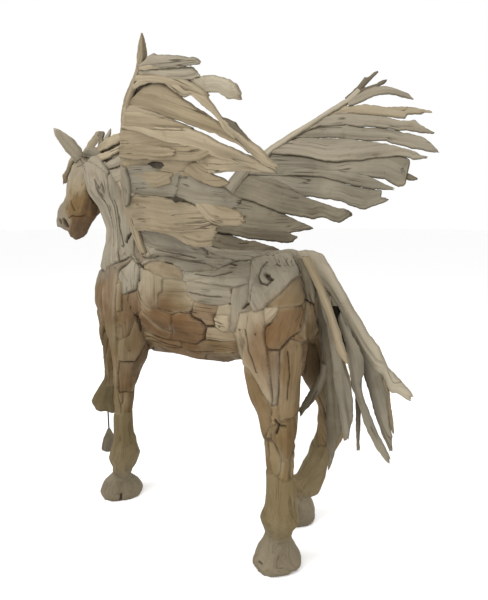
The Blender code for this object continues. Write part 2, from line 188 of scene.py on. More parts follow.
# The weathered wood: sizes of its grain and spots, the colours that they take and how strongly they show
driftwoodLook = {
    "fine": (7.0, 230.0, 230.0), "broad": (2.2, 38.0, 38.0), "crack": (1.4, 26.0, 26.0),
    "stain": 4.5, "blotch": 15.0, "patch": 7.0, "pits": 11.0,
    "crackPitAndShadeDark": (0.030, 0.019, 0.010), "bleach": (0.34, 0.29, 0.205),
    "broadDark": (0.45, 0.40, 0.34), "fineDark": (0.42, 0.36, 0.30), "blotchDark": (0.55, 0.44, 0.33),
    "broadAmount": 0.42, "fineAmount": 0.30, "blotchAmount": 0.30, "crackAmount": 0.85, "pitAmount": 0.7,
    "crackWidth": 0.016, "pitWidth": (0.022, 0.040), "reliefDepth": 0.006, "specular": 0.12,
}


def newMaterial(name):
    material = bpy.data.materials.new(name)
    material.use_nodes = True
    return material, material.node_tree.nodes["Principled BSDF"]


def driftwood(name, crackAmount=1.0, bleachAmount=0.28, bump=0.6, roughBase=0.80):
    look = driftwoodLook
    material, shader = newMaterial(name)
    tree = material.node_tree
    start = Wire(tree)
    grain = start.add("ShaderNodeAttribute", {"attribute_name": "grainPlace"}, {}, out="Vector")
    tint = start.add("ShaderNodeAttribute", {"attribute_name": "boardTint"}, {}, out="Color")
    gap = start.add("ShaderNodeAttribute", {"attribute_name": "gapShade"}, {}, out="Fac")
    place = start.add("ShaderNodeTexCoord", {}, {}, out="Object")
    fine = grain.stretched(look["fine"]).noise(1.0, 4.0, 0.6)
    broad = grain.stretched(look["broad"]).noise(1.0, 5.0, 0.6)
    stain = place.noise(look["stain"], 4.0, 0.6)
    blotch = place.noise(look["blotch"], 3.0, 0.6)
    line = grain.stretched(look["crack"]).noise(1.0, 2.0, 0.5)
    patch = place.noise(look["patch"], 1.0, 0.5).band(0.50, 0.60)  # cracks come in patches
    crack = line.distance(0.5).band(0.0, look["crackWidth"], 1.0, 0.0) * patch * crackAmount
    spots = place.add("ShaderNodeTexVoronoi", {"feature": "F1"},
                      {"Vector": place, "Scale": look["pits"]}, out="Distance")
    pits = spots.band(*look["pitWidth"], 1.0, 0.0)
    color = (stain.band(0.40, 0.70) * bleachAmount).blend(tint, (*look["bleach"], 1.0))
    for kind, layer, low, high in (("broad", broad, 0.42, 0.72), ("fine", fine, 0.45, 0.75),
                                   ("blotch", blotch, 0.56, 0.74)):
        mask = layer.band(low, high) * look[kind + "Amount"]
        color = mask.blend(color, (*look[kind + "Dark"], 1.0), "MULTIPLY")
    # cracks and pits darken the wood itself; gapShade mixes in painted shade for gaps, grooves, plank rims
    # and cuts
    dark = start.maths("MAXIMUM", crack * look["crackAmount"], pits * look["pitAmount"])
    dark = start.maths("MAXIMUM", dark, gap, clamp=True)
    color = dark.blend(color, (*look["crackPitAndShadeDark"], 1.0))
    height = fine * 0.25 + broad * 0.75 - crack * 1.2 - pits * 0.6
    relief = start.add("ShaderNodeBump", {},
                       {"Strength": bump, "Distance": look["reliefDepth"], "Height": height})
    tree.links.new(color.socket, shader.inputs["Base Color"])
    tree.links.new((broad * 0.16 + roughBase - 0.05).socket, shader.inputs["Roughness"])
    tree.links.new(relief.socket, shader.inputs["Normal"])
    shader.inputs["Specular IOR Level"].default_value = look["specular"]
    return material


# The rod: dull black iron with rusty scuffs
rodLook = {"black": (0.022, 0.020, 0.018), "rust": (0.10, 0.055, 0.032), "scuff": 120.0,
           "reliefDepth": 0.001}


def rodPaint():
    material, shader = newMaterial("rodIron")
    tree = material.node_tree
    start = Wire(tree)
    place = start.add("ShaderNodeTexCoord", {}, {}, out="Object")
    worn = place.noise(rodLook["scuff"], 4.0, 0.6)
    color = worn.band(0.5, 0.7).blend((*rodLook["black"], 1.0), (*rodLook["rust"], 1.0))
    relief = start.add("ShaderNodeBump", {},
                       {"Strength": 0.3, "Distance": rodLook["reliefDepth"], "Height": worn})
    tree.links.new(color.socket, shader.inputs["Base Color"])
    tree.links.new((worn * 0.3 + 0.45).socket, shader.inputs["Roughness"])
    tree.links.new(relief.socket, shader.inputs["Normal"])
    return material


noiseKeys = (374761393, 668265263, 1442695041, 974634777, 1274126177)  # these scatter the cells
noiseTop = 0xFFFFF
groundLayer = 0.003  # points this low stand on the ground


def flowNoise(points, seed):  # smooth noise from -1 to 1 for an array of points
    cell = np.floor(points).astype(np.int64)
    part = points - cell
    part = part * part * (3 - 2 * part)
    total = np.zeros(len(points))
    for corner in range(8):
        step = np.array([corner & 1, (corner >> 1) & 1, (corner >> 2) & 1])
        at = cell + step
        key = at[:, 0] * noiseKeys[0] + at[:, 1] * noiseKeys[1] + at[:, 2] * noiseKeys[2]
        key = key + seed * noiseKeys[3]
        key = (key ^ (key >> 13)) * noiseKeys[4]
        key = key ^ (key >> 16)
        value = (key & noiseTop) / float(noiseTop) * 2 - 1
        total += value * np.prod(np.where(step == 1, part, 1 - part), axis=1)
    return total


def smoothStep(low, high, values):
    t = np.clip((values - low) / (high - low), 0, 1)
    return t * t * (3 - 2 * t)


def pointsOf(mesh):
    values = np.empty(len(mesh.vertices) * 3)
    mesh.vertices.foreach_get("co", values)
    return values.reshape(-1, 3)


def normalsOf(mesh):
    values = np.empty(len(mesh.vertices) * 3, np.float32)
    mesh.vertex_normals.foreach_get("vector", values)
    return values.reshape(-1, 3).astype(float)


def writePoints(mesh, points):
    mesh.vertices.foreach_set("co", points.reshape(-1))
    mesh.update()


def paintPoints(mesh, grain, tint, gap):  # the three layers that the driftwood finish reads
    layers = {"grainPlace": "FLOAT_VECTOR", "boardTint": "FLOAT_COLOR", "gapShade": "FLOAT"}
    for name, kind in layers.items():
        if name not in mesh.attributes:
            mesh.attributes.new(name, kind, "POINT")
    mesh.attributes["grainPlace"].data.foreach_set("vector", grain.reshape(-1))
    full = np.concatenate([tint, np.ones((len(tint), 1))], 1)
    mesh.attributes["boardTint"].data.foreach_set("color", full.reshape(-1))
    mesh.attributes["gapShade"].data.foreach_set("value", gap)


def packedCopy(names):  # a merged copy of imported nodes
    bm = bmesh.new()
    for name in names:
        bm.from_mesh(frame["nodes"][name].data)
    bmesh.ops.remove_doubles(bm, verts=bm.verts, dist=0.00002)
    return bm


def edgesOf(mesh):
    values = np.empty(len(mesh.edges) * 2, np.int32)
    mesh.edges.foreach_get("vertices", values)
    return values.reshape(-1, 2)


def easeValues(edges, values, rounds):  # spreads values evenly over neighbouring points
    count = len(values)
    links = np.bincount(edges.ravel(), minlength=count).astype(float)[:, None]
    for turn in range(rounds):
        total = np.stack([np.bincount(edges[:, 0], values[edges[:, 1], k], count)
                          + np.bincount(edges[:, 1], values[edges[:, 0], k], count)
                          for k in range(values.shape[1])], 1)
        values = values * 0.5 + total / links * 0.5
    return values


def fineSkin(bm, name, voxel, easing):  # an even, closed, finely divided skin round the copy
    mesh = bpy.data.meshes.new(name)
    bm.to_mesh(mesh)
    bm.free()
    holder = bpy.data.objects.new(name, mesh)
    sceneLinks.link(holder)
    skin = holder.modifiers.new("skin", "REMESH")
    skin.mode = "VOXEL"
    skin.voxel_size = voxel
    bpy.context.view_layer.update()
    finished = holder.evaluated_get(bpy.context.evaluated_depsgraph_get())
    done = bpy.data.meshes.new_from_object(finished)
    bpy.data.objects.remove(holder)
    bpy.data.meshes.remove(mesh)
    done.name = name
    edges = edgesOf(done)
    before = pointsOf(done)
    eased = easeValues(edges, before, easing)
    writePoints(done, eased)
    normals = normalsOf(done)
    lost = easeValues(edges, ((before - eased) * normals).sum(1)[:, None], easing)
    eased = eased + normals * lost  # gives back what the easing shrank
    eased[:, 2] = np.where(before[:, 2] < groundLayer, 0.0, eased[:, 2])
    writePoints(done, eased)
    return done


def finishPiece(mesh, name, nodes, material):
    for face in mesh.polygons:
        face.use_smooth = True
    mesh.materials.clear()
    mesh.materials.append(material)
    piece = bpy.data.objects.new(name, mesh)
    sceneLinks.link(piece)
    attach(piece, "root")
    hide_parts(*nodes)
    return piece


placeCamera()
bodyWood = driftwood("bodyDriftwood", 0.9, 0.22)
legWood = driftwood("legDriftwood", 0.5, 0.15, 0.45)
headWood = driftwood("headDriftwood", 0.5, 0.12, 0.4)
maneWood = driftwood("maneDriftwood", 0.8, 0.35)
nearWingWood = driftwood("nearWingDriftwood", 0.9, 0.22)
farWingWood = driftwood("farWingDriftwood", 0.9, 0.22)
tailWood = driftwood("tailDriftwood", 0.9, 0.3)
footWood = driftwood("footDriftwood", 0.4, 0.15, 0.4)
rodIron = rodPaint()

# Body: one skin over trunk, neck and legs is carved into boards, then each part is cut from it
bodySet = {
    "nodes": ["trunk", "neck", "foreleg_left", "foreleg_right", "hindleg_left", "hindleg_right"],
    "voxel": 0.0078, "easing": 22, "swell": 0.001, "seed": 11,
    "fillers": 260, "bareFrom": 1.25, "drawnMargin": 0.006, "offSurface": 0.12,
    "spread": 0.0045, "crown": 0.0045, "crownReach": 0.026,
    "gapDepth": 0.012, "gapRound": 0.005, "gapLeast": 0.0002, "gapMost": 0.0024, "legGaps": 0.7,
    "shadeLeast": 0.12, "shadeMost": 0.72, "splitReach": 0.009, "layerReach": 0.30, "marksNearer": 2.75,
    "wander": [(11, 0.007, 1), (37, 0.0024, 4)], "laidWander": 0.4, "drawnWander": 0.6,
    "ridges": [(3, 48, 5, 0.0022), (6, 130, 9, 0.0009)], "waves": [(12, 6, 0.0045), (31, 16, 0.0012)],
    "baseShare": 0.34, "wornAndHighlightShare": 0.32, "hoofTop": 0.20, "blockRagged": 0.03, "blockEdge": 0.003,
    "laidKeys": 200, "blockKeys": 600, "grainShift": 3.17,
}
toneScatter = 12.9898  # sets the tones of neighbouring boards apart

# Small corrections of the outline: nodes, reach, and places in the photo frame with the shift at each
bodyPulls = [
    (("neck", "trunk", "foreleg_right"), 24,
     [(98, 212, 8, 0), (99, 228, 10, 0), (100, 242, 8, 0), (99, 252, 4.5, 0), (97, 266, 1, 0),
      (93, 282, 4.2, 0), (94, 300, 3.6, 0), (97, 322, 3.6, 0), (98, 340, 3, 0), (103, 358, 0.5, 0),
      (103, 374, 2.5, 0)]),
    (("foreleg_right",), 10,
     [(103, 380, 0, 0), (99, 386, -3, 0), (95, 395, -4.5, -1), (92, 403, -5, -2), (95, 409, 0, -4),
      (104, 412, 0, -3.5)]),
    (("foreleg_left",), 17,
     [(150, 345, 1, 0), (147, 356, -0.5, 1), (145, 365, -3.2, 0), (138, 385, -3, 0),
      (134, 405, -2.3, 0), (133, 425, -1, 0), (133, 436, 0.5, 0)]),
    (("foreleg_left",), 10,
     [(133, 440, 2, 0), (137, 451, 4, 0), (137, 461, -1, 0), (133, 468, -5, 0), (137, 476, 1.5, 0),
      (141, 488, 3, 0), (138, 499, 4, 0)]),
    (("foreleg_left",), 9,
     [(112, 418, -1, 0), (110, 440, 0, 0), (108, 458, 0, 0), (109, 466, 3.5, 0), (105, 478, -2, 0),
      (101, 488, 0, 0), (103, 500, -1, 0)]),
    (("trunk",), 22,
     [(150, 349, 0, 0), (165, 351, 0, 3), (190, 354, 0, 4), (220, 359, 0, 2), (240, 360, 0, 2.5)]),
    (("hindleg_left",), 27,
     [(243, 362, -1, 1), (247, 378, -4, 0), (252, 392, -5.2, 0), (258, 410, -6.2, 0), (264, 430, -5, 0),
      (266, 450, -3.5, 0), (266, 475, -1.8, 0), (266, 492, -0.5, 0)]),
    (("hindleg_left",), 15,
     [(301, 370, -0.5, 0), (300, 385, -2, 0), (299, 405, -2.5, 0), (298, 425, -2.5, 0),
      (297, 445, -3, 0), (297, 458, -3.5, 0), (298, 475, -2.5, 0)]),
    (("hindleg_left",), 11,
     [(292, 524, 0, 0), (293, 531, -2, 0), (296, 540, 4, 0), (300, 553, 4, 0), (299, 566, 4, 0)]),
    (("hindleg_left",), 10,
     [(264, 505, 0, 0), (263, 516, -2.5, 0), (264, 530, -2.5, 0), (259, 540, -4, 0), (253, 553, 2, 0),
      (254, 565, 0.5, 0)]),
    (("hindleg_right",), 12,
     [(316, 395, -0.5, 0), (318, 410, 1, 0), (314, 430, 1, 0), (308, 446, 0.7, 0), (303, 460, 2, 2),
      (297, 470, 4, 6)]),
    (("hindleg_right",), 10,
     [(343, 436, 0, 0), (338, 450, -2, 0), (331, 466, -2.5, 0), (325, 478, 1, 0), (321, 488, 1.5, 0),
      (316, 496, 1.5, 0)]),
    (("hindleg_right",), 9, [(312, 492, 1, 0), (314, 501, 2, 0), (314, 512, 0, 0)]),
    (("trunk",), 18,
     [(275, 249, 0, -1.5), (300, 248, 0, -2.2), (315, 251, 0.5, -2.5), (325, 260, 3, -2),
      (332, 272, 2.5, -1)]),
]
hoofFlare = {"foreleg_left": 0.05, "hindleg_left": -0.01, "hindleg_right": 0.0}
legTone = {"foreleg_left": 0.84, "foreleg_right": 0.66}

# Tones that run over several boards, alike on both sides: place, reach, wood, strength
regionTones = [
    ((0.20, 0.02, 0.92), 0.20, "rust", 0.75),
    ((0.10, -0.05, 0.78), 0.30, "umber", 0.45),
    ((0.20, 0.52, 0.93), 0.12, "rust", 0.7),
    ((0.16, -0.36, 0.86), 0.13, "khaki", 0.7),
    ((0.15, -0.40, 0.70), 0.13, "honey", 0.8),
    ((0.15, 0.55, 0.55), 0.12, "honey", 0.5),
    ((0.14, -0.78, 0.75), 0.16, "honey", 0.5),
    ((0.05, 0.25, 1.28), 0.25, "silver", 0.6),
    ((-0.14, 0.50, 0.84), 0.15, "umber", 0.9),  # painted shade on the inner sides of the thighs, which it only just reaches
    ((0.16, -0.45, 1.02), 0.15, "rust", 0.7),
]

# Runs of the grain: points from one end of each part of the body to the other
grainRuns = {
    "trunk": [(0.0, -0.66, 1.02), (0.0, 0.65, 1.07)],
    "neck": [(0.0, -0.36, 1.20), (0.0, -0.62, 1.66)],
    "foreleg_left": [(0.13, -0.36, 1.15), (0.15, -0.38, 0.72), (0.15, -0.41, 0.1)],
    "foreleg_right": [(-0.13, -0.48, 1.1), (-0.14, -0.78, 0.72), (-0.14, -0.82, 0.40)],
    "hindleg_left": [(0.13, 0.42, 1.20), (0.15, 0.52, 0.75), (0.15, 0.60, 0.50), (0.15, 0.54, 0.1)],
    "hindleg_right": [(-0.13, 0.50, 1.15), (-0.17, 0.55, 0.75), (-0.18, 0.62, 0.45), (-0.18, 0.46, 0.1)],
}

# Boards seen from the camera's side: wood, lift, way of the grain, outline, as places in the photo frame
bodyBoards = [
    ("silver", 0.004, (8, 30),
     [(80, 160), (93, 164), (101, 170), (107, 176), (109, 200), (113, 240), (118, 261), (104, 272),
      (84, 275), (92, 240), (88, 205), (80, 185)]),
    ("ash", 0.000, (5, 30),
     [(108, 176), (113, 169), (122, 168), (124, 195), (125, 212), (129, 208), (134, 222), (137, 235),
      (132, 256), (119, 262), (114, 240), (110, 200)]),
    # painted shade: this umber board stands for the deep gap between neck and wing root
    ("umber", -0.004, (6, 30),
     [(131, 205), (137, 228), (141, 246), (146, 258), (140, 263), (135, 256), (133, 240), (135, 226),
      (129, 209)]),
    ("dusk", 0.002, (-3, 30),
     [(84, 262), (104, 264), (102, 276), (101, 300), (104, 330), (108, 372), (92, 372), (84, 300)]),
    ("umber", 0.004, (2, 30),
     [(105, 264), (119, 263), (131, 256), (132, 259), (119, 270), (115, 283), (114, 300), (115, 345),
      (117, 386), (108, 375), (105, 330), (102, 300), (103, 276)]),
    ("ash", 0.003, (0, 30),
     [(133, 259), (138, 266), (137, 280), (135, 290), (122, 294), (121, 283), (118, 276), (122, 267)]),
    ("honey", 0.006, (0, 30), [(117, 284), (121, 283), (122, 310), (117, 311)]),
    ("rust", -0.001, (-3, 30),
     [(122, 295), (136, 291), (137, 300), (140, 308), (134, 316), (133, 322), (129, 335), (119, 339),
      (118, 325), (116, 313), (122, 311)]),
    ("tan", 0.004, (-4, 30),
     [(134, 323), (138, 321), (142, 334), (145, 341), (141, 352), (137, 361), (120, 361), (118, 352),
      (119, 341), (129, 336)]),
    ("rust", -0.002, (-4, 30),
     [(119, 362), (137, 362), (142, 353), (147, 341), (153, 345), (148, 360), (141, 374), (137, 392),
      (119, 392), (118, 380)]),
    ("dun", 0.003, (2, 30),
     [(142, 269), (150, 271), (154, 275), (155, 290), (155, 304), (151, 307), (147, 306), (141, 299),
      (139, 290), (141, 277)]),
    ("khaki", 0.004, (1, 30), [(156, 274), (161, 276), (161, 290), (158, 293), (157, 303), (156, 303)]),
    ("khaki", 0.000, (30, 1),
     [(163, 280), (184, 282), (187, 296), (193, 301), (191, 311), (185, 313), (178, 313), (168, 310),
      (158, 307), (158, 295), (162, 292)]),
    ("ash", 0.002, (30, 2),
     [(186, 282), (200, 283), (215, 286), (229, 288), (231, 292), (230, 302), (219, 305), (205, 304),
      (196, 301), (188, 296)]),
    ("rust", 0.000, (30, 4),
     [(194, 302), (205, 305), (218, 306), (216, 312), (212, 318), (213, 326), (204, 326), (200, 321),
      (190, 319), (190, 312)]),
    ("tan", 0.004, (30, 14),
     [(141, 302), (149, 309), (156, 309), (165, 313), (170, 318), (170, 330), (163, 329), (152, 322),
      (143, 313)]),
    ("rust", -0.002, (30, 12),
     [(139, 310), (150, 320), (162, 329), (169, 332), (168, 338), (155, 336), (143, 330), (137, 318)]),
    ("rust", 0.000, (30, 2),
     [(171, 316), (178, 314), (188, 315), (199, 321), (203, 327), (204, 340), (195, 342), (182, 340),
      (172, 338), (171, 330)]),
    ("tan", -0.002, (30, 4),
     [(144, 331), (155, 337), (170, 340), (178, 340), (180, 346), (168, 346), (156, 342), (146, 340)]),
    ("tan", -0.001, (30, 6),
     [(147, 342), (158, 344), (172, 347), (182, 346), (190, 349), (205, 353), (206, 362), (190, 364),
      (170, 358), (148, 352)]),
    ("honey", 0.002, (30, 2),
     [(182, 342), (195, 344), (203, 341), (220, 343), (235, 342), (238, 350), (225, 352), (205, 352),
      (190, 348), (183, 345)]),
    ("sand", 0.004, (30, 6), [(217, 316), (228, 316), (229, 330), (222, 331), (214, 326), (214, 319)]),
    ("dun", 0.002, (30, 4),
     [(206, 328), (214, 329), (222, 333), (233, 334), (236, 340), (220, 341), (206, 340), (205, 334)]),
    ("dun", 0.002, (30, -6), [(219, 306), (230, 304), (230, 314), (217, 315)]),
    ("umber", 0.000, (30, 4), [(207, 353), (224, 353), (238, 351), (241, 360), (232, 364), (208, 364)]),
    ("ash", 0.002, (-2, 30),
     [(232, 290), (249, 284), (248, 298), (243, 307), (249, 311), (239, 313), (236, 332), (231, 331),
      (232, 315), (231, 302)]),
    ("tan", 0.000, (30, 8),
     [(141, 266), (150, 262), (160, 262), (170, 264), (178, 268), (180, 273), (181, 279), (172, 278),
      (163, 277), (155, 273), (148, 270)]),
    ("silver", 0.005, (30, 0),
     [(184, 272), (200, 271), (215, 271), (235, 262), (250, 260), (248, 282), (235, 286), (215, 284),
      (200, 281), (188, 279), (183, 277)]),
    ("ash", 0.000, (30, 5),
     [(150, 257), (165, 257), (180, 260), (195, 262), (204, 263), (212, 268), (205, 270), (183, 270),
      (176, 266), (163, 261)]),
    ("silver", 0.002, (30, 4),
     [(145, 246), (160, 249), (175, 252), (200, 256), (215, 258), (235, 261), (218, 267), (206, 262),
      (190, 259), (172, 255), (152, 255)]),
    ("silver", 0.003, (30, 8),
     [(140, 229), (160, 230), (172, 236), (188, 245), (203, 252), (222, 257), (200, 255), (175, 251),
      (150, 247), (142, 243)]),
    ("silver", 0.006, (14, 30),
     [(252, 261), (262, 258), (275, 256), (290, 255), (296, 260), (298, 268), (299, 275), (290, 280),
      (280, 291), (270, 300), (262, 308), (255, 310), (251, 304), (249, 298), (249, 283), (251, 270)]),
    ("ash", 0.000, (30, 0),
     [(252, 258), (275, 253), (284, 246), (310, 246), (318, 256), (300, 256), (291, 253), (262, 256)]),
    ("honey", 0.001, (-18, 30),
     [(300, 277), (302, 285), (306, 297), (304, 303), (290, 306), (278, 307), (268, 305), (280, 294),
      (290, 284)]),
    ("sand", 0.003, (-20, 20), [(265, 309), (278, 308), (276, 315), (270, 322), (265, 325)]),
    ("rust", 0.000, (-10, 30),
     [(280, 309), (304, 306), (307, 315), (303, 330), (290, 338), (280, 350), (266, 349), (265, 340),
      (265, 328), (272, 322)]),
    ("tan", 0.000, (0, 30), [(308, 300), (315, 305), (318, 330), (312, 345), (303, 334), (308, 315)]),
    ("sand", 0.002, (10, 30),
     [(240, 313), (250, 311), (256, 313), (263, 311), (263, 325), (263, 345), (266, 365), (271, 385),
      (274, 403), (270, 400), (262, 385), (252, 370), (243, 362), (238, 350), (235, 334)]),
    ("honey", -0.002, (12, 30),
     [(232, 350), (241, 363), (252, 372), (262, 388), (270, 402), (274, 412), (273, 425), (268, 440),
      (258, 440), (250, 410), (240, 380)]),
    ("silver", 0.000, (3, 30),
     [(266, 351), (279, 351), (279, 380), (278, 405), (275, 405), (272, 385), (268, 365)]),
    ("tan", 0.002, (-2, 30),
     [(281, 351), (291, 340), (306, 345), (306, 380), (302, 410), (297, 417), (282, 420), (280, 400)]),
    # painted shade: this umber board stands for the shadowed inner part of the right hind leg
    ("umber", -0.004, (0, 30),
     [(301, 346), (308, 340), (316, 346), (319, 362), (320, 385), (313, 393), (306, 385), (301, 377)]),
    ("honey", -0.001, (2, 30),
     [(276, 427), (281, 424), (298, 419), (300, 435), (296, 450), (291, 462), (284, 460), (279, 448),
      (275, 440)]),
]

# Cracks, knots and folds: half width and depth in metres, then places in the photo frame
bodyMarks = [
    (0.0035, 0.012,
     [(267, 263), (262, 269), (260, 277), (262, 283), (267, 285), (271, 281), (270, 276), (266, 275)]),
    (0.0060, 0.012, [(266, 275), (269, 279), (272, 280)]),
    (0.0030, 0.006, [(272, 257), (273, 257)]),
    (0.0030, 0.006, [(277, 255), (278, 255)]),
    (0.0030, 0.006, [(277, 266), (280, 268)]),
    (0.0030, 0.008, [(293, 258), (298, 266), (300, 274)]),
    (0.0055, 0.010, [(127, 237), (128, 235)]),
    (0.0030, 0.012, [(132, 232), (129, 234), (126, 239), (127, 242)]),
    (0.0030, 0.006, [(130, 350), (130.5, 350)]),
    (0.0035, 0.010, [(135, 318), (137, 322)]),
    (0.0035, 0.006, [(219, 327), (220, 327)]),
    (0.0030, 0.006, [(179, 339), (180, 341)]),
    (0.0035, 0.014, [(243, 308), (247, 304), (250, 303)]),
    (0.0030, 0.010, [(231, 289), (231, 293)]),
    (0.0030, 0.010, [(229, 304), (230, 304)]),
    (0.0030, 0.008, [(165, 262), (172, 264)]),
    (0.0030, 0.008, [(230, 264), (236, 266)]),
    (0.0035, 0.014, [(278, 420), (281, 426), (279, 434)]),
    (0.0030, 0.010, [(281, 426), (287, 426)]),
    (0.0030, 0.006, [(255, 334), (256, 335)]),
    (0.0030, 0.006, [(240, 330), (240.5, 330)]),
    (0.0040, 0.010, [(302, 325), (303, 327)]),
    (0.0050, 0.014, [(121.5, 494), (121.5, 504)]),
    (0.0050, 0.014, [(138, 263), (142, 266)]),
    (0.0035, 0.010, [(143, 256), (152, 258), (158, 256)]),
    (0.0045, 0.012, [(134, 316), (138, 321), (141, 330)]),
    (0.0040, 0.010, [(126, 241), (128, 238), (131, 233)]),
    (0.0030, 0.006, [(258, 561), (262, 564)]),
    (0.0030, 0.008, [(143, 312), (152, 321), (163, 328), (170, 331)]),
    (0.0025, 0.005, [(146, 336), (160, 341), (176, 344)]),
    (0.0025, 0.006, [(182, 345), (196, 349), (214, 350)]),
    (0.0025, 0.005, [(189, 292), (205, 296), (222, 297)]),
    (0.0025, 0.006, [(196, 275), (214, 277), (232, 273)]),
    (0.0025, 0.006, [(155, 250), (175, 254), (196, 258)]),
    (0.0025, 0.006, [(246, 330), (250, 350), (258, 372)]),
    (0.0025, 0.006, [(288, 352), (290, 375), (288, 400)]),
    (0.0025, 0.006, [(96, 180), (99, 200), (104, 225), (108, 245)]),
    (0.0025, 0.005, [(114, 200), (118, 225), (124, 245)]),
]


def edgeGap(places, first, second):  # share of an edge where each place is nearest, and its distance
    edge = second - first
    t = np.clip(((places - first) @ edge) / max(edge @ edge, 1e-9), 0, 1)
    return t, np.linalg.norm(places - first - t[:, None] * edge, axis=1)


def pullPlaces(points, places, depth, pulls, allowed, right, rise):  # moves points across the line of sight
    moved = points.copy()
    for names, reach, line in pulls:
        nearest = np.full(len(points), 1e9)
        shift = np.zeros((len(points), 2))
        line = np.array(line, float)
        for first, second in zip(line[:-1], line[1:]):
            t, far = edgeGap(places, first[:2], second[:2])
            here = first[2:] * (1 - t)[:, None] + second[2:] * t[:, None]
            shift = np.where((far < nearest)[:, None], here, shift)
            nearest = np.minimum(nearest, far)
        size = smoothStep(reach, reach * 0.1, nearest) * allowed(names) * depth / cameraSet["focal"]
        across = np.array(right) * shift[:, :1] - np.array(rise) * shift[:, 1:]
        moved = moved + across * size[:, None]
    onGround = points[:, 2] < groundLayer
    moved[:, 2] = np.where(onGround, points[:, 2], np.maximum(moved[:, 2], 0.0))
    return moved


def outlineDepth(places, outline):  # signed distance to an outline, positive inside
    corners = np.array(outline, float)
    nearest = np.full(len(places), 1e9)
    inside = np.zeros(len(places), bool)
    for first, second in zip(corners, np.roll(corners, -1, 0)):
        edge = second - first
        nearest = np.minimum(nearest, edgeGap(places, first, second)[1])
        crosses = (first[1] > places[:, 1]) != (second[1] > places[:, 1])
        rise = edge[1] if edge[1] != 0 else 1e-9
        inside ^= crosses & (places[:, 0] < first[0] + (places[:, 1] - first[1]) * edge[0] / rise)
    return np.where(inside, nearest, -nearest)


def lineGap(places, line):  # distance to a line of places
    corners = np.array(line, float)
    gaps = [edgeGap(places, first, second)[1] for first, second in zip(corners[:-1], corners[1:])]
    return np.min(gaps, axis=0)


def markDip(places, depth, line, halfWidth, inner, outer):  # 1 in the middle of a cut, 0 outside it
    far = lineGap(places, line) * depth / cameraSet["focal"]
    return 1 - smoothStep(halfWidth * inner, halfWidth * outer, far)


def nearestPart(points, names):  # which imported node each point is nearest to
    best = np.full(len(points), 1e9)
    which = np.zeros(len(points), int)
    for number, name in enumerate(names):
        bm = packedCopy([name])
        tree = BVHTree.FromBMesh(bm)
        bm.free()
        low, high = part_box(name)
        margin = 0.04
        inBox = (points > np.array(low) - margin) & (points < np.array(high) + margin)
        close = np.where(inBox.all(1))[0]
        far = np.full(len(points), 1e3)
        far[close] = [tree.find_nearest(Vector(point))[3] for point in points[close]]
        which = np.where(far < best, number, which)
        best = np.minimum(best, far)
    return which


def runWay(points, name):  # direction of the grain at each point of one part
    corners = np.array(grainRuns[name], float)
    nearest = np.full(len(points), 1e9)
    way = np.zeros((len(points), 3))
    for first, second in zip(corners[:-1], corners[1:]):
        far = edgeGap(points, first, second)[1]
        way[far < nearest] = (second - first) / np.linalg.norm(second - first)
        nearest = np.minimum(nearest, far)
    return way


# Boards laid on the unseen sides: woods to draw from, half length and half width
fillerKinds = {
    "neck": (["silver", "ash", "silver", "sand"], (0.16, 0.26), (0.030, 0.045)),
    "back": (["silver", "ash", "silver", "tan"], (0.13, 0.27), (0.034, 0.06)),
    "belly": (["tan", "khaki", "rust", "honey", "silver"], (0.13, 0.27), (0.034, 0.06)),
    "upperLeg": (["tan", "silver", "rust", "tan"], (0.14, 0.22), (0.035, 0.055)),
    "leg": (["khaki", "tan", "honey", "khaki"], (0.16, 0.24), (0.034, 0.045)),
}
backFrom, upperLegFrom = 1.08, 0.85

# Heights under which a leg is one piece of wood down to its hoof
legBlocks = {"foreleg_left": 0.47, "foreleg_right": 0.43, "hindleg_left": 0.42, "hindleg_right": 0.42}


def fillerKind(part, height):
    if part == "neck":
        return "neck"
    if part == "trunk":
        return "back" if height > backFrom else "belly"
    return "upperLeg" if height > upperLegFrom else "leg"


def blockTops(part):
    return np.array([legBlocks.get(name, -1.0) for name in bodySet["nodes"]])[part]


def placeFillers(points, normals, part, covered):  # boards laid one by one where the skin is still bare
    draw = np.random.default_rng(bodySet["seed"])
    names = bodySet["nodes"]
    reach = np.where(covered, 0.0, 50.0) + flowNoise(points * 9, 3) * 0.01
    reach = np.where(points[:, 2] < blockTops(part), 0.0, reach)
    boards = []
    for count in range(bodySet["fillers"]):
        pick = int(np.argmax(reach))
        if reach[pick] < bodySet["bareFrom"]:
            break
        name = names[part[pick]]
        choices, longs, wides = fillerKinds[fillerKind(name, points[pick][2])]
        wood, halfLong, halfWide = draw.choice(choices), draw.uniform(*longs), draw.uniform(*wides)
        normal = normals[pick]
        way = runWay(points[pick:pick + 1], name)[0]
        way = way - normal * (way @ normal)
        if np.linalg.norm(way) < 0.3:  # the grain would run into the surface
            way = np.cross(normal, (1.0, 0.0, 0.0))
        way = way / np.linalg.norm(way)
        side = np.cross(normal, way)
        lean = math.radians(draw.uniform(-10, 10))
        turned = way * math.cos(lean) + side * math.sin(lean)
        side = side * math.cos(lean) - way * math.sin(lean)
        board = {"middle": points[pick], "way": turned, "side": side, "normal": normal, "wood": wood,
                 "halfLong": halfLong, "halfWide": halfWide, "lift": draw.uniform(-0.004, 0.004),
                 "tilt": draw.uniform(-0.05, 0.05)}
        boards.append(board)
        reach = np.minimum(reach, boardReach(points, normals, board))
    return boards


def boardReach(points, normals, board):  # half widths from each point to a board's middle line
    away = points - board["middle"]
    along = away @ board["way"]
    across = away @ board["side"]
    off = away @ board["normal"]
    t = np.abs(along) / board["halfLong"]
    wide = board["halfWide"] * (0.55 + 0.45 * np.clip(1 - t ** 3, 0, 1))
    beyond = np.clip(np.abs(along) - board["halfLong"] + wide, 0, None)
    far = np.sqrt((across / wide) ** 2 + (beyond / wide) ** 2 + (off / bodySet["offSurface"]) ** 2)
    return far + 3 * np.clip(0.05 - normals @ board["normal"], 0, None)


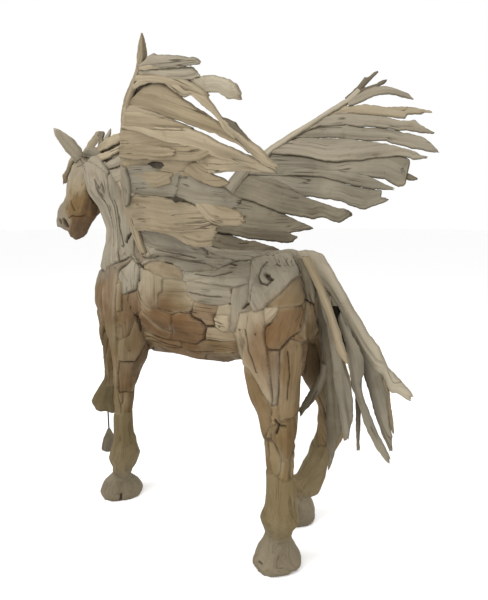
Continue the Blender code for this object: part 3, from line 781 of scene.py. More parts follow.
def drawnDepths(points, normals, places, depth, views):  # nearest and next drawn board of each point
    sight = points - viewPoint
    facing = -(normals * sight).sum(1) / np.linalg.norm(sight, axis=1)
    best = np.full(len(points), -1.0)
    second = np.full(len(points), -1.0)
    which = np.full(len(points), -1)
    for number, view in enumerate(views):
        inLayer = np.abs(depth - view["near"]) < bodySet["layerReach"]
        chosen = np.where((facing > 0.0) & inLayer)[0]
        inside = outlineDepth(places[chosen], view["outline"]) * depth[chosen] / cameraSet["focal"]
        better = inside > best[chosen]
        second[chosen] = np.where(better, best[chosen], np.maximum(second[chosen], inside))
        best[chosen] = np.where(better, inside, best[chosen])
        which[chosen] = np.where(better, number, which[chosen])
    edge = np.minimum(best + bodySet["spread"], (best - second) / 2)
    return best, edge, which, facing


def fillerDepths(points, normals, fillers):  # the same for the boards laid in 3-D
    best = np.full(len(points), 60.0)
    second = np.full(len(points), 60.0)
    which = np.zeros(len(points), int)
    for number, board in enumerate(fillers):
        far = boardReach(points, normals, board)
        better = far < best
        second = np.where(better, best, np.minimum(second, far))
        best = np.where(better, far, best)
        which = np.where(better, number, which)
    halfWide = np.array([board["halfWide"] for board in fillers])[which]
    return (second - best) * halfWide * 0.5, which


def toneOf(points, tint):  # lets the broad stains of the old wood, and painted shade on the inner thighs, run over the boards
    unsigned = points.copy()
    unsigned[:, 0] = np.abs(points[:, 0])
    ragged = flowNoise(points * 14, 31)
    for place, reach, wood, strength in regionTones:
        far = np.linalg.norm(unsigned - np.array(place), axis=1) + ragged * reach * 0.25
        part = (strength * smoothStep(reach * 1.3, reach * 0.5, far))[:, None]
        tint = tint * (1 - part) + np.array(woods[wood]) * part
    return tint


def baseTone(points):  # greyer above, warmer below and darker near the ground: the old wood's weathering together with painted light, a cool sky tint on top and a warm floor bounce underneath
    height = points[:, 2] + flowNoise(points * 5, 41) * 0.10 + flowNoise(points * 17, 42) * 0.04
    warm = smoothStep(1.16, 0.92, height)[:, None]
    low = smoothStep(0.62, 0.42, height)[:, None]
    tone = np.array(woods["silver"]) * (1 - warm) + np.array(woods["tan"]) * warm
    return tone * (1 - low) + np.array(woods["khaki"]) * low


def boardWander(points):  # bends the joints between boards, in long waves and in short ones
    wander = np.zeros_like(points)
    for scale, amount, seed in bodySet["wander"]:
        waves = [flowNoise(points * scale + shift, seed + k) for k, shift in enumerate((5, 9, 13))]
        wander = wander + np.stack(waves, 1) * amount
    return wander


def boardRidges(along, across, shift):  # ridges that run with the grain
    level = np.full(len(along), 1.5)
    return sum(amount * flowNoise(np.stack([along * long + shift, across * wide + shift, level], 1), seed)
               for long, wide, seed, amount in bodySet["ridges"])


def carveMarks(places, depth, facing, height, shade):  # cracks, knots and folds, on the side that shows: sunk, and darkened with painted shade
    chosen = np.where((facing > 0.1) & (depth < bodySet["marksNearer"]))[0]
    for halfWidth, markDepth, line in bodyMarks:
        dip = markDip(places[chosen], depth[chosen], line, halfWidth, 0.3, 1.5)
        height[chosen] -= dip * markDepth
        shade[chosen] = np.maximum(shade[chosen], dip * 0.8)


def flareHooves(points, part):  # widens or narrows the standing hooves round their middles
    for name, flare in hoofFlare.items():
        mine = (part == bodySet["nodes"].index(name)) & (points[:, 2] < bodySet["hoofTop"])
        centre = points[mine & (points[:, 2] < 0.01)].mean(0)[:2]
        grow = 1 + flare * smoothStep(0.18, 0.05, points[mine, 2])[:, None]
        points[mine, :2] = centre + (points[mine, :2] - centre) * grow
    points[:, 2] = np.maximum(points[:, 2], 0.0)


def carveBoards(mesh, views, fillers, part):  # boards, gaps, marks and grain on the skin
    points = pointsOf(mesh)
    normals = normalsOf(mesh)
    names = bodySet["nodes"]
    wander = boardWander(points)
    laidAt = points + wander + wander[:, [1, 2, 0]] * bodySet["laidWander"]
    edge, which = fillerDepths(laidAt, normals, fillers)
    middle, way, side, lift, tilt = (np.array([board[item] for board in fillers])[which]
                                     for item in ("middle", "way", "side", "lift", "tilt"))
    tint = np.array([woods[board["wood"]] for board in fillers])[which]
    key = which + bodySet["laidKeys"]  # a number for each board, which sets its grain and tone apart
    places, depth = toPhoto(points + wander * bodySet["drawnWander"])
    seen, drawnEdge, drawnWhich, facing = drawnDepths(points, normals, places, depth, views)
    drawn = seen > -bodySet["spread"]
    edge = np.where(drawn, drawnEdge, np.minimum(edge, -seen))
    for number, view in enumerate(views):
        mine = drawn & (drawnWhich == number)
        right = np.array(viewTurn @ Vector((view["way"][0], -view["way"][1], 0)).normalized())
        way[mine] = right
        side[mine] = np.cross(viewAxes[:, 2], right)
        middle[mine] = points[mine].mean(0) if mine.any() else 0
        tint[mine] = woods[view["wood"]]
        lift[mine] = view["lift"]
        tilt[mine] = 0.0
        key[mine] = number
    blockTop = blockTops(part)
    raggedTop = blockTop + flowNoise(points * 16, 7) * bodySet["blockRagged"]
    blockTop = np.where(blockTop > 0, raggedTop, blockTop)
    block = (points[:, 2] < blockTop) & ~(drawn & (seen > 0))
    offBlock = np.abs(points[:, 2] - blockTop) + bodySet["blockEdge"]
    edge = np.where(block, offBlock, np.where(drawn, edge, np.minimum(edge, offBlock)))
    hoofPart = smoothStep(bodySet["hoofTop"], 0.10, points[:, 2])[:, None]
    blockTint = np.array(woods["khaki"]) * (1 - hoofPart) + np.array(woods["hoof"]) * hoofPart
    key = np.where(block, bodySet["blockKeys"] + part, key)
    lift = np.where(block, 0.0, lift)
    tilt = np.where(block, 0.0, tilt)
    way = np.where(block[:, None], np.array((0.0, 0.0, 1.0)), way)
    side = np.where(block[:, None], np.cross(normals, (0, 0, 1.0)), side)
    away = points - middle
    along = (away * way).sum(1)
    around = np.arctan2(normals[:, 1], normals[:, 0]) * 0.06  # round a leg, in metres
    across = np.where(block, around, (away * side).sum(1))
    through = (away * normals).sum(1) * 0.3
    shift = key * bodySet["grainShift"]
    grain = np.stack([along + shift, across + shift * 0.37, through + shift * 0.11], 1)
    strength = smoothStep(0.0, 0.75, flowNoise(points * 9 + 3, 21) + 0.25 * np.sin(key * 7.77))
    onLeg = np.array(["leg" in name for name in names])[part]
    strength = strength * np.where(onLeg, bodySet["legGaps"], 1.0)
    openness = bodySet["gapLeast"] + bodySet["gapMost"] * strength
    gap = 1 - smoothStep(openness, openness + bodySet["gapRound"], edge)
    gap = np.where(block & (points[:, 2] < blockTop - 0.02), 0, gap)
    crown = (1 - np.clip(edge / bodySet["crownReach"], 0, 1)) ** 2 * bodySet["crown"]
    waves = sum(flowNoise(points * scale, seed) * amount for scale, seed, amount in bodySet["waves"])
    soft = np.where(block, 0.30, 1.0)  # the legs' lower ends are smoother
    relief = soft * (boardRidges(along, across, shift) + waves - crown)
    height = bodySet["swell"] + lift * 1.3 + across * tilt + relief
    height = height - gap * bodySet["gapDepth"] * np.where(block, 0.15, 0.25 + 0.75 * strength)
    # painted shade in the open gaps between boards, darker where a gap opens wider
    darkness = bodySet["shadeLeast"] + bodySet["shadeMost"] * strength
    shade = smoothStep(0.45, 1.0, gap) * darkness * np.where(block, 0.3, 1.0)
    # edges of closed joints lean toward sand: partly worn, bleached wood, partly painted highlight on the
    # rounded edges
    worn = smoothStep(0.016, 0.004, edge) * (1 - strength) * soft
    worn = worn * smoothStep(-0.2, 0.4, flowNoise(points * 15, 51)) * bodySet["wornAndHighlightShare"]
    carveMarks(places, depth, facing, height, shade)
    inPlaces, inDepth = toPhoto(points)
    points = pullPlaces(points + normals * height[:, None], inPlaces, inDepth, bodyPulls,
                        lambda wanted: np.isin(part, [names.index(name) for name in wanted]),
                        viewAxes[:, 0], viewAxes[:, 1])
    flareHooves(points, part)
    writePoints(mesh, points)
    tone = 1 + 0.09 * np.sin(key * toneScatter) + 0.12 * flowNoise(points * 6, 8)
    for name, factor in legTone.items():
        lower = (part == names.index(name)) * smoothStep(1.15, 0.85, points[:, 2])
        tone = tone * (1 - (1 - factor) * lower)
    base = baseTone(points)
    tint = toneOf(points, tint * (1 - bodySet["baseShare"]) + base * bodySet["baseShare"])
    tint = np.where(block[:, None], blockTint, tint) * tone[:, None]
    tint = easeValues(edgesOf(mesh), tint, 4)
    tint = tint * (1 - worn[:, None]) + np.array(woods["sand"]) * worn[:, None]
    paintPoints(mesh, grain, tint, shade)


def boardViews(tree):  # each drawn board with its distance from the camera
    views = []
    for wood, lift, way, outline in bodyBoards:
        ray = sightLine(*np.mean(outline, 0))
        hit = tree.ray_cast(viewPlace, ray.normalized())[0]
        near = (hit - viewPlace).dot(ray) / ray.length_squared if hit else 2.2
        views.append({"wood": wood, "lift": lift, "way": way, "outline": outline, "near": near})
    return views


def splitAtGaps(mesh, views, fillers):  # a finer mesh where the gaps run
    points = pointsOf(mesh)
    normals = normalsOf(mesh)
    edge = fillerDepths(points, normals, fillers)[0]
    places, depth = toPhoto(points)
    seen, drawnEdge = drawnDepths(points, normals, places, depth, views)[:2]
    edge = np.where(seen > -bodySet["spread"], drawnEdge, np.minimum(edge, -seen))
    near = np.abs(edge) < bodySet["splitReach"]
    for halfWidth, markDepth, line in bodyMarks:
        near |= lineGap(places, line) * depth / cameraSet["focal"] < halfWidth * 1.5 + 0.004
    bm = bmesh.new()
    bm.from_mesh(mesh)
    bm.verts.ensure_lookup_table()
    split = [item for item in bm.edges if near[item.verts[0].index] and near[item.verts[1].index]]
    bmesh.ops.subdivide_edges(bm, edges=split, cuts=1, use_grid_fill=True)
    bmesh.ops.triangulate(bm, faces=[face for face in bm.faces if len(face.verts) > 4])
    bm.to_mesh(mesh)
    bm.free()


def makeBody():
    names = bodySet["nodes"]
    mesh = fineSkin(packedCopy(names), "bodySkin", bodySet["voxel"], bodySet["easing"])
    points = pointsOf(mesh)
    normals = normalsOf(mesh)
    part = nearestPart(points, names)
    bm = bmesh.new()
    bm.from_mesh(mesh)
    tree = BVHTree.FromBMesh(bm)
    bm.free()
    views = boardViews(tree)
    places, depth = toPhoto(points)
    seen = drawnDepths(points, normals, places, depth, views)[0]
    fillers = placeFillers(points, normals, part, seen > -bodySet["drawnMargin"])
    print("body boards:", len(views), "drawn,", len(fillers), "laid on the other sides")
    splitAtGaps(mesh, views, fillers)
    part = nearestPart(pointsOf(mesh), names)
    carveBoards(mesh, views, fillers, part)
    for number, name in enumerate(names):
        makeBodyPart(mesh, part == number, name)
    bpy.data.meshes.remove(mesh)


def makeBodyPart(mesh, mine, name):  # one node's share of the carved skin, closed where it was cut
    bm = bmesh.new()
    bm.from_mesh(mesh)
    away = [face for face in bm.faces if sum(mine[v.index] for v in face.verts) * 2 < len(face.verts)]
    bmesh.ops.delete(bm, geom=away, context="FACES")
    rim = [edge for edge in bm.edges if edge.is_boundary]
    for edge in rim:
        edge.smooth = False
    bmesh.ops.holes_fill(bm, edges=rim, sides=0)
    bmesh.ops.triangulate(bm, faces=[face for face in bm.faces if len(face.verts) > 4])
    loose = [v for v in bm.verts if not v.link_faces]
    bmesh.ops.delete(bm, geom=loose, context="VERTS")
    share = bpy.data.meshes.new(name + "Boards")
    bm.to_mesh(share)
    bm.free()
    isLeg = "leg" in name
    finishPiece(share, name + "Boards", [name],
                legWood if isLeg else bodyWood)
    print(name, "faces", len(share.polygons))


makeBody()
print("body done")

# Foot of the rod, a turned bell of grey wood
footSet = {"voxel": 0.003, "easing": 3, "wood": "dusk", "rough": 0.0008, "rings": 24, "seed": 40}


def spineOf(points):  # middle of a slender piece, and its long, side and thin axes
    middle = points.mean(0)
    values, axes = np.linalg.eigh(np.cov((points - middle).T))
    return middle, axes[:, 2], axes[:, 1], axes[:, 0]


def makeFoot():
    seed, rings = footSet["seed"], footSet["rings"]
    mesh = fineSkin(packedCopy(["prop_foot"]), "prop_footWood", footSet["voxel"], footSet["easing"])
    points = pointsOf(mesh)
    normals = normalsOf(mesh)
    middle, long, side, third = spineOf(points)
    away = points - middle
    along = away @ long
    spot = (along - along.min()) / (np.ptp(along) + 1e-9) * rings
    ring = np.clip(spot.astype(int), 0, rings - 1)
    offMiddle = []
    for values in (away @ side, away @ third):  # measured from the middle of each ring
        centres = [values[ring == b].mean() if (ring == b).any() else 0 for b in range(rings)]
        offMiddle.append(values - np.interp(spot - 0.5, np.arange(rings), centres))
    across, through = offMiddle
    turn = np.arctan2(through, across)
    ridge = flowNoise(np.stack([along * 5 + seed, turn * 2.2 + along * 2 + seed, turn * 0 + seed], 1), seed)
    fine = flowNoise(np.stack([along * 9 + seed, across * 110 + seed, through * 110], 1), seed + 1)
    lump = flowNoise(points * 18, seed + 2)
    height = footSet["rough"] * (1.0 * ridge + 0.45 * fine + 0.7 * lump - 0.4)
    points = points + normals * height[:, None]
    points[:, 2] = np.maximum(points[:, 2], 0.0)
    writePoints(mesh, points)
    grain = np.stack([along + seed * 3.1, across + seed * 1.7, through], 1)
    shade = smoothStep(0.45, 0.85, -ridge) * 0.45
    tint = np.array(woods[footSet["wood"]]) * (1 + 0.14 * lump)[:, None]
    paintPoints(mesh, grain, tint, shade)
    finishPiece(mesh, "prop_footWood", ["prop_foot"], footWood)


makeFoot()
print("foot done")

# Head, carved alike on both sides: patches of colour, cuts and the nostrils, as places in the photo frame
headSet = {"voxel": 0.0036, "easing": 14, "wood": "tan", "patchEase": (-5.0, 4.0), "wander": 1.2,
           "grainWay": (0.0, -0.45, -0.89), "crossWay": (0.0, 0.89, -0.45)}
headPatches = [
    ("silver", 0.8, [(50, 140), (95, 140), (96, 165), (88, 180), (66, 190), (50, 206)]),
    ("dun", 0.6, [(60, 180), (88, 178), (90, 198), (60, 200)]),
    ("honey", 0.85, [(70, 196), (90, 190), (93, 200), (85, 216), (68, 216)]),
    # painted highlight: a light patch at the eye
    ("sand", 0.5, [(79, 165), (87, 166), (85, 174), (80, 174)]),
    # painted shade: the dark patch under the jaw, between cheek and neck
    ("umber", 0.95, [(91, 184), (110, 203), (110, 221), (88, 222), (84, 206)]),
    ("rust", 0.95, [(69, 216), (91, 213), (96, 232), (86, 246), (69, 246)]),
    ("umber", 0.85, [(72, 222), (91, 218), (96, 232), (86, 246), (69, 246)]),
    ("ash", 0.8, [(50, 196), (64, 199), (69, 222), (67, 236), (50, 236)]),
]
headMarks = [
    (0.0030, 0.010, 0.85, [(70, 201), (74.5, 211)]),
    (0.0075, 0.008, 0.9, [(58, 220), (59.5, 224)]),
    (0.0110, 0.014, 0.98, [(63, 220.5), (66.5, 226.5)]),
    (0.0030, 0.008, 0.50, [(69, 218), (72, 216), (78, 217), (84, 216)]),
    (0.0045, 0.010, 0.70, [(88, 183), (93, 190), (99, 203), (102, 214)]),
    (0.0028, 0.008, 0.60, [(73, 163), (77, 159)]),
    (0.0028, 0.006, 0.50, [(87, 172), (90, 180)]),
    (0.0024, 0.006, 0.45, [(79, 158), (84, 165)]),
    (0.0024, 0.005, 0.40, [(77, 167), (82, 165), (87, 168)]),
    (0.0040, 0.004, 0.20, [(66, 190), (68, 200), (67, 210)]),
]
headPulls = [
    ((), 13,
     [(64, 170, 2, 0), (64, 178, 5, 0), (64, 186, 6, 0), (63, 196, 5, 0), (60, 205, -0.5, 0),
      (58, 212, -0.5, 0)]),
    ((), 9,
     [(56, 219, 2, 0), (56, 226, 3, -1), (59, 232, 3.5, -5), (65, 237, 4, -6), (69, 238, 2, -2)]),
    ((), 9, [(75, 239, 0, 3), (84, 240, 0, 3), (89, 232, 2, 1), (90, 222, 1.5, 0)]),
]


def makeHead():
    mesh = fineSkin(packedCopy(["head"]), "headWood", headSet["voxel"], headSet["easing"])
    points = pointsOf(mesh)
    normals = normalsOf(mesh)
    both = points.copy()
    both[:, 0] = np.abs(points[:, 0])  # the far side takes the near side's carving
    places, depth = toPhoto(both)
    wander = np.stack([flowNoise(both * 30, 61), flowNoise(both * 30, 62)], 1) * headSet["wander"]
    tint = np.tile(np.array(woods[headSet["wood"]]), (len(points), 1))
    for wood, strength, outline in headPatches:
        inside = outlineDepth(places + wander * 3.0, outline)
        part = (strength * smoothStep(*headSet["patchEase"], inside))[:, None]
        tint = tint * (1 - part) + np.array(woods[wood]) * part
    along, across = points @ np.array(headSet["grainWay"]), points @ np.array(headSet["crossWay"])
    height = flowNoise(np.stack([along * 6, across * 45, points[:, 0] * 12], 1), 63) * 0.0016
    height = height + flowNoise(points * 26, 64) * 0.0016 + flowNoise(points * 11, 65) * 0.002
    shade = np.zeros(len(points))
    # the cuts and nostrils are sunk and darkened with painted shade
    for halfWidth, markDepth, dark, line in headMarks:
        dip = markDip(places, depth, line, halfWidth, 0.4, 1.6)
        height = height - dip * markDepth
        shade = np.maximum(shade, dip * dark)
    moved = pullPlaces(both, places, depth, headPulls, lambda wanted: 1.0, (0, 1.22, 0), (0, 0, 1.0))
    points = points + (moved - both) + normals * height[:, None]
    writePoints(mesh, points)
    tone = 1 + 0.10 * flowNoise(points * 14, 66)
    grain = np.stack([along, across, points[:, 0]], 1)
    paintPoints(mesh, grain, tint * tone[:, None], shade)
    finishPiece(mesh, "headWood", ["head"], headWood)


makeHead()
print("head done")

# Planes that boards lie in: a point of the plane, and its ways back and up
boardPlanes = {
    "middle": {"root": (0.0, 0.0, 1.0), "back": (0.0, 1.0, 0.0), "up": (0.0, 0.0, 1.0)},
    "left": {"root": (0.12235, -0.2546, 1.24), "back": (0.2419, 0.9703, 0.0),
             "up": (0.4253, -0.1060, 0.8988)},
    "right": {"root": (-0.13765, -0.2546, 1.24), "back": (-0.0349, 0.9994, 0.0),
              "up": (-0.4997, -0.0175, 0.8660)},
}
plankSet = {"thick": 0.014, "sparThick": 0.020, "step": 0.0052, "edgeRound": 0.005, "ragged": 0.0024,
            "splinter": 0.010, "splinterReach": 0.05, "rimShade": 0.25, "rimWidth": 0.0035,
            "grooveShade": 0.30, "nearPitch": 0.006, "farPitch": 0.008, "trace": 200}

# Boards of the near wing: node, layer, wood, and both edges from root to tip in the photo frame
nearWingBoards = [
    ("left_feather_01", 1, "silver",
     [(139, 65), (145, 59.5), (149, 55), (153, 52.5), (157, 54.5), (172, 55), (185, 56), (197, 58.5),
      (199, 61)],
     [(139, 71), (150, 69), (165, 67.5), (180, 67), (187, 66.5), (190, 66), (197, 65.5), (199, 64)]),
    ("left_feather_02", 0, "pale",
     [(137, 70), (150, 69), (170, 68), (185, 67), (193, 68), (196, 71), (199, 75)],
     [(137, 76), (155, 77), (170, 79), (184, 80), (192, 79), (199, 77)]),
    ("left_feather_03", 1, "sand",
     [(137, 75), (155, 75), (170, 77), (184, 79), (193, 83), (200, 88), (207, 95)],
     [(136, 81), (152, 81), (165, 83), (178, 87), (190, 93), (200, 99), (206, 103)]),
    ("left_feather_04", -1, "pale",
     [(184, 77), (192, 78), (200, 77), (204, 75.5), (213, 75.5), (222, 77), (230, 80), (236, 85),
      (240, 91)],
     [(186, 79), (194, 85), (200, 89), (205, 93), (212, 91.5), (219, 92), (224, 96), (229, 99),
      (236, 98.5), (240, 100)]),
    ("left_feather_05", 2, "sand",
     [(132, 84), (140, 80), (160, 81), (178, 85), (192, 91), (203, 96), (206, 95), (212, 103),
      (222, 118), (233, 122), (240, 130), (250, 141), (258, 146), (265, 153), (272, 162), (279, 167)],
     [(134, 90), (141, 86), (150, 83), (165, 84), (172, 89), (185, 97.5), (191, 95), (197, 99.5),
      (206, 106.5), (217, 117.5), (226, 131), (235, 139), (247, 149), (258, 158), (268, 166),
      (277, 170)]),
    ("left_feather_06", 0, "straw",
     [(130, 101), (137, 93), (143, 87), (150, 84), (158, 83), (166, 86), (175, 92.5), (185, 100.5),
      (200, 110), (217, 121.5), (230, 133), (245, 146), (256, 156), (262, 161)],
     [(128, 108), (135, 107), (145, 109), (155, 112), (164, 115), (175, 119), (187, 123.5),
      (205, 129.5), (222, 136.5), (240, 145.5), (254, 155), (260, 161)]),
    ("left_feather_07", 1, "sand",
     [(123, 107), (130, 104), (140, 107), (152, 111), (164, 116), (175, 121), (188, 127.5),
      (205, 134.5), (222, 143.5), (240, 151.5), (254, 158), (265, 163), (276, 171)],
     [(122, 128), (130, 130), (140, 131), (150, 135), (158, 138), (168, 141), (180, 143), (195, 147.5),
      (207, 152), (222, 158), (240, 164), (258, 169), (276, 173)]),
    ("left_feather_07", 0.5, "sand",
     [(188, 141), (200, 143), (214, 147), (228, 151), (242, 156), (256, 162), (268, 168), (276, 171)],
     [(190, 156), (200, 163), (208, 172), (218, 172), (228, 171), (240, 170.5), (256, 171.5),
      (276, 174)]),
    ("left_feather_08", 2, "dun",
     [(121, 130), (130, 129), (138, 130), (147, 134), (157, 138), (170, 141), (182, 142), (195, 146),
      (205, 149), (212, 152)],
     [(121, 157), (130, 158), (140, 159), (155, 159.5), (168, 159.5), (180, 160), (190, 161),
      (200, 160), (206, 157), (211, 154)]),
    ("left_feather_09", 0, "dun",
     [(124, 156), (145, 157), (160, 158), (175, 158), (190, 160), (209, 158)],
     [(126, 170), (145, 168), (155, 171), (170, 172), (180, 175), (190, 176), (200, 178), (211, 175)]),
    ("left_feather_10", 0.9, "ash",
     [(123, 168), (130, 165), (140, 164.5), (150, 164.5), (157, 168), (168, 168.5), (176, 170),
      (182, 173)],
     [(126, 192), (132, 193), (140, 192.5), (150, 194), (160, 196), (170, 196.5), (176, 196)]),
    ("left_feather_11", 1, "dun",
     [(184, 169), (189, 163), (196, 161), (205, 160), (210, 163), (209, 171), (213, 174), (222, 178),
      (229, 182)],
     [(184, 171), (191, 174), (197, 179), (205, 183), (212, 185.5), (222, 186.5), (229, 184)]),
    ("left_feather_12", 0.5, "ash",
     [(172, 178), (180, 172), (187, 171), (192, 175), (198, 180), (206, 183), (215, 185), (222, 187),
      (230, 193), (239, 200)],
     [(170, 196), (178, 197), (186, 199), (196, 203), (208, 205), (220, 207), (232, 209), (239, 206)]),
    ("left_feather_13", 1.2, "dun",
     [(128, 200), (136, 193), (145, 193), (155, 194.5), (165, 197), (175, 200), (185, 202), (195, 206),
      (203, 210), (208, 218), (216, 226)],
     [(136, 229), (145, 228), (155, 229), (163, 230.5), (170, 232), (185, 232), (200, 231), (210, 230),
      (217, 229)]),
    ("left_feather_14", 1.6, "dun",
     [(196, 203), (205, 203), (213, 204), (222, 206), (232, 209), (240, 213), (244, 218), (244, 221)],
     [(198, 208), (204, 214), (208, 219), (214, 223), (220, 225), (228, 225.5), (238, 225),
      (243, 223)]),
    ("left_feather_15", 1.6, "dun",
     [(138, 227), (160, 227), (175, 226), (190, 224), (205, 221), (212, 222), (218, 227)],
     [(138, 230), (158, 231), (170, 234), (180, 239), (188, 243), (200, 246.5), (213, 245.5)]),
]

farWingBoards = [
    ("right_twig_01", 0, "dusk",
     [(345, 98), (357, 87), (363, 80), (365, 77.5), (367, 78.5), (370, 77), (374, 73), (377, 71.5)],
     [(350, 100), (358, 93), (365, 87), (369, 82), (375, 76), (378, 73)]),
    ("right_twig_02", 0, "dusk",
     [(350, 97), (360, 90), (368, 87), (377, 84), (382, 81), (386, 80)],
     [(352, 101), (362, 94), (372, 90), (378, 87), (384, 84), (387, 81)]),
    ("right_twig_03", 1, "silver",
     [(347, 101), (358, 95), (366, 90), (375, 86.5), (385, 86), (393, 87.5), (400, 90), (408, 93.5),
      (413, 98)],
     [(349, 107), (360, 103), (370, 98), (380, 94.5), (388, 94), (396, 95), (404, 97), (410, 98.5),
      (413, 99.5)]),
    ("right_feather_01", 0, "sand",
     [(325, 112), (345, 106), (355, 106), (365, 104.5), (375, 105), (385, 107), (400, 106.5),
      (414, 107), (422, 109), (430, 111), (432, 112)],
     [(318, 122), (335, 117), (350, 114), (365, 115), (380, 116), (395, 117.5), (405, 118), (407, 114),
      (414, 114), (421, 114.5), (424, 112.5), (432, 113)]),
    ("right_feather_02", 1, "silver",
     [(300, 128), (320, 119), (340, 113), (355, 114), (370, 115.5), (385, 117), (400, 121), (410, 121),
      (415, 120), (419, 124), (427, 129), (434, 132)],
     [(300, 134), (320, 126), (345, 125), (360, 127), (375, 127), (385, 128), (395, 130), (410, 131),
      (425, 133), (434, 133.5)]),
    ("right_feather_03", 0, "silver",
     [(285, 138), (310, 127), (330, 124), (345, 125), (360, 127), (378, 128), (390, 129.5), (402, 132),
      (413, 135), (424, 138), (431, 143), (438, 151)],
     [(280, 143), (300, 138), (320, 138), (340, 138.5), (355, 140), (372, 141), (387, 142), (397, 145),
      (410, 148), (420, 150.5), (430, 152), (438, 152)]),
    ("right_feather_04", 1, "silver",
     [(270, 148), (300, 137), (320, 138), (345, 138.5), (365, 141), (385, 143), (395, 146),
      (405, 148.5), (415, 152), (421, 156), (427, 157)],
     [(268, 154), (290, 155), (310, 158), (325, 162), (342, 162), (360, 161), (380, 158), (400, 156),
      (411, 158), (412, 160.5), (420, 160), (427, 158.5)]),
    ("right_feather_05", 0, "ash",
     [(262, 152), (285, 153), (300, 156), (312, 158), (325, 160), (342, 160), (360, 157), (380, 155),
      (400, 155), (410, 159), (409, 164), (403, 168), (402, 171)],
     [(262, 174), (300, 174), (320, 176), (340, 178), (360, 177), (374, 178), (384, 179), (391, 183),
      (398, 187), (404, 187), (406, 183), (403, 173)]),
    ("right_feather_06", 1, "ash",
     [(250, 165), (273, 170), (290, 170), (310, 169), (330, 171), (345, 171), (360, 173), (374, 178),
      (382, 182), (390, 186), (394, 188)],
     [(250, 175), (276, 176), (300, 176), (320, 177), (335, 180.5), (350, 184.5), (362, 187),
      (372, 188.5), (383, 189), (393, 190)]),
    ("right_feather_07", 0, "ash",
     [(245, 172), (275, 174), (295, 175), (313, 175), (330, 178), (345, 183), (360, 187), (372, 189),
      (382, 190), (380, 197), (386, 198)],
     [(250, 184), (275, 188), (300, 196), (311, 197), (325, 199.5), (340, 201), (350, 206), (356, 207),
      (361, 209.5), (366, 209), (372, 207), (380, 204), (387, 200)]),
    ("right_feather_08", 1, "slate",
     [(230, 178), (255, 176), (276, 179), (290, 187), (302, 195), (313, 200), (325, 204), (336, 208),
      (346, 209), (350, 210.5)],
     [(230, 196), (255, 203), (270, 209), (280, 213), (290, 215.5), (302, 217), (314, 219), (320, 217),
      (325, 217.5), (332, 221), (340, 223), (346, 219), (351, 216)]),
    ("right_feather_09", 0, "slate",
     [(222, 188), (245, 194), (265, 203), (280, 211), (289, 216), (300, 222), (307, 224.5), (312, 227)],
     [(222, 222), (245, 229), (270, 233), (290, 233), (300, 230.5), (308, 229.5), (312, 228.5)]),
    # painted shade: the dark dusk wood of these two stands for the shadow they lie in, under the near wing
    ("right_feather_10", 1, "dusk",
     [(212, 215), (230, 222), (250, 228), (270, 231), (288, 232), (293, 235), (297, 236)],
     [(212, 232), (232, 235), (250, 239.5), (270, 241), (285, 243), (292, 242), (294, 239),
      (297, 237.5)]),
    ("right_feather_11", 0, "dusk",
     [(205, 232), (230, 235), (245, 240), (255, 241), (265, 244.5), (275, 247.5), (279, 249)],
     [(205, 244), (225, 251), (240, 254), (260, 253), (275, 251), (279, 250)]),
]

# Smaller boards that lie on or under the larger ones, in the same terms
nearWingExtras = [
    # painted shadow: near-black sheets over the dark holes between boards
    ("left_feather_09", 0.5, "hollow",
     [(148, 163), (153, 161), (160, 160.5), (168, 162), (175, 163.5)],
     [(149, 164), (155, 167.5), (161, 168.5), (166, 166), (175, 165)]),
    ("left_feather_13", 1.6, "hollow",
     [(168, 196), (174, 195), (184, 198.5)],
     [(170, 198), (176, 202.5), (184, 200.5)]),
    ("left_feather_10", 1.5, "dun",
     [(135, 172), (145, 170), (158, 171), (172, 173)],
     [(134, 184), (146, 187), (158, 188), (171, 183)]),
    ("left_feather_01", 1.6, "sand",
     [(140, 66), (155, 62.5), (170, 61.5), (186, 62.5)],
     [(140, 70), (160, 68.5), (175, 67.5), (187, 66)]),
    # painted shade: a dusk sheet behind the boards fills gaps that show shadow
    ("left_feather_06", -2.2, "dusk",
     [(136, 78), (150, 77), (168, 79), (182, 86)],
     [(132, 104), (145, 98), (165, 97), (182, 98)]),
    ("left_feather_12", -1.6, "ash",
     [(150, 184), (170, 184), (192, 186)],
     [(150, 208), (170, 208), (192, 208)]),
    ("left_feather_15", -1.0, "ash",
     [(138, 229), (160, 229), (172, 232), (190, 241), (207, 251)],
     [(140, 243), (155, 247), (172, 250), (190, 254), (207, 257)]),
    ("left_feather_07", 1.5, "dun",
     [(125, 111), (140, 111), (160, 117), (175, 122), (192, 128)],
     [(123, 124), (140, 127), (160, 130), (176, 131), (190, 131)]),
    ("left_feather_05", 2.6, "dusk",
     [(222, 118.5), (229, 119.5), (235, 122), (241, 130), (248, 138)],
     [(224, 122), (230, 127), (236, 131), (243, 135), (249, 140)]),
    ("left_feather_10", 2.6, "silver",
     [(121.5, 166), (122, 180), (123, 195), (125, 207)],
     [(126, 168), (130, 179), (131, 192), (129, 204)]),
    ("left_feather_08", 2.5, "dun",
     [(122, 146), (140, 143), (160, 146), (176, 149)],
     [(122, 155), (140, 156), (160, 156), (175, 155)]),
]
nearSpar = [
    ("wing_spar_left", 0, "dun",
     [(140.5, 33), (138.5, 45), (138, 58), (136, 70), (133, 78), (129, 87), (125, 97), (123, 107),
      (121.5, 120), (121, 135), (121, 150), (121.5, 165), (122, 180), (123, 195), (125, 210),
      (130, 225), (136, 240), (142, 254)],
     [(141.5, 33), (144, 45), (145.5, 56), (142, 66), (139, 76), (137, 86), (133, 96), (130, 106),
      (128, 118), (127, 135), (127, 150), (127, 165), (128, 180), (130, 195), (133, 208), (138, 224),
      (142, 238), (147, 252)]),
]
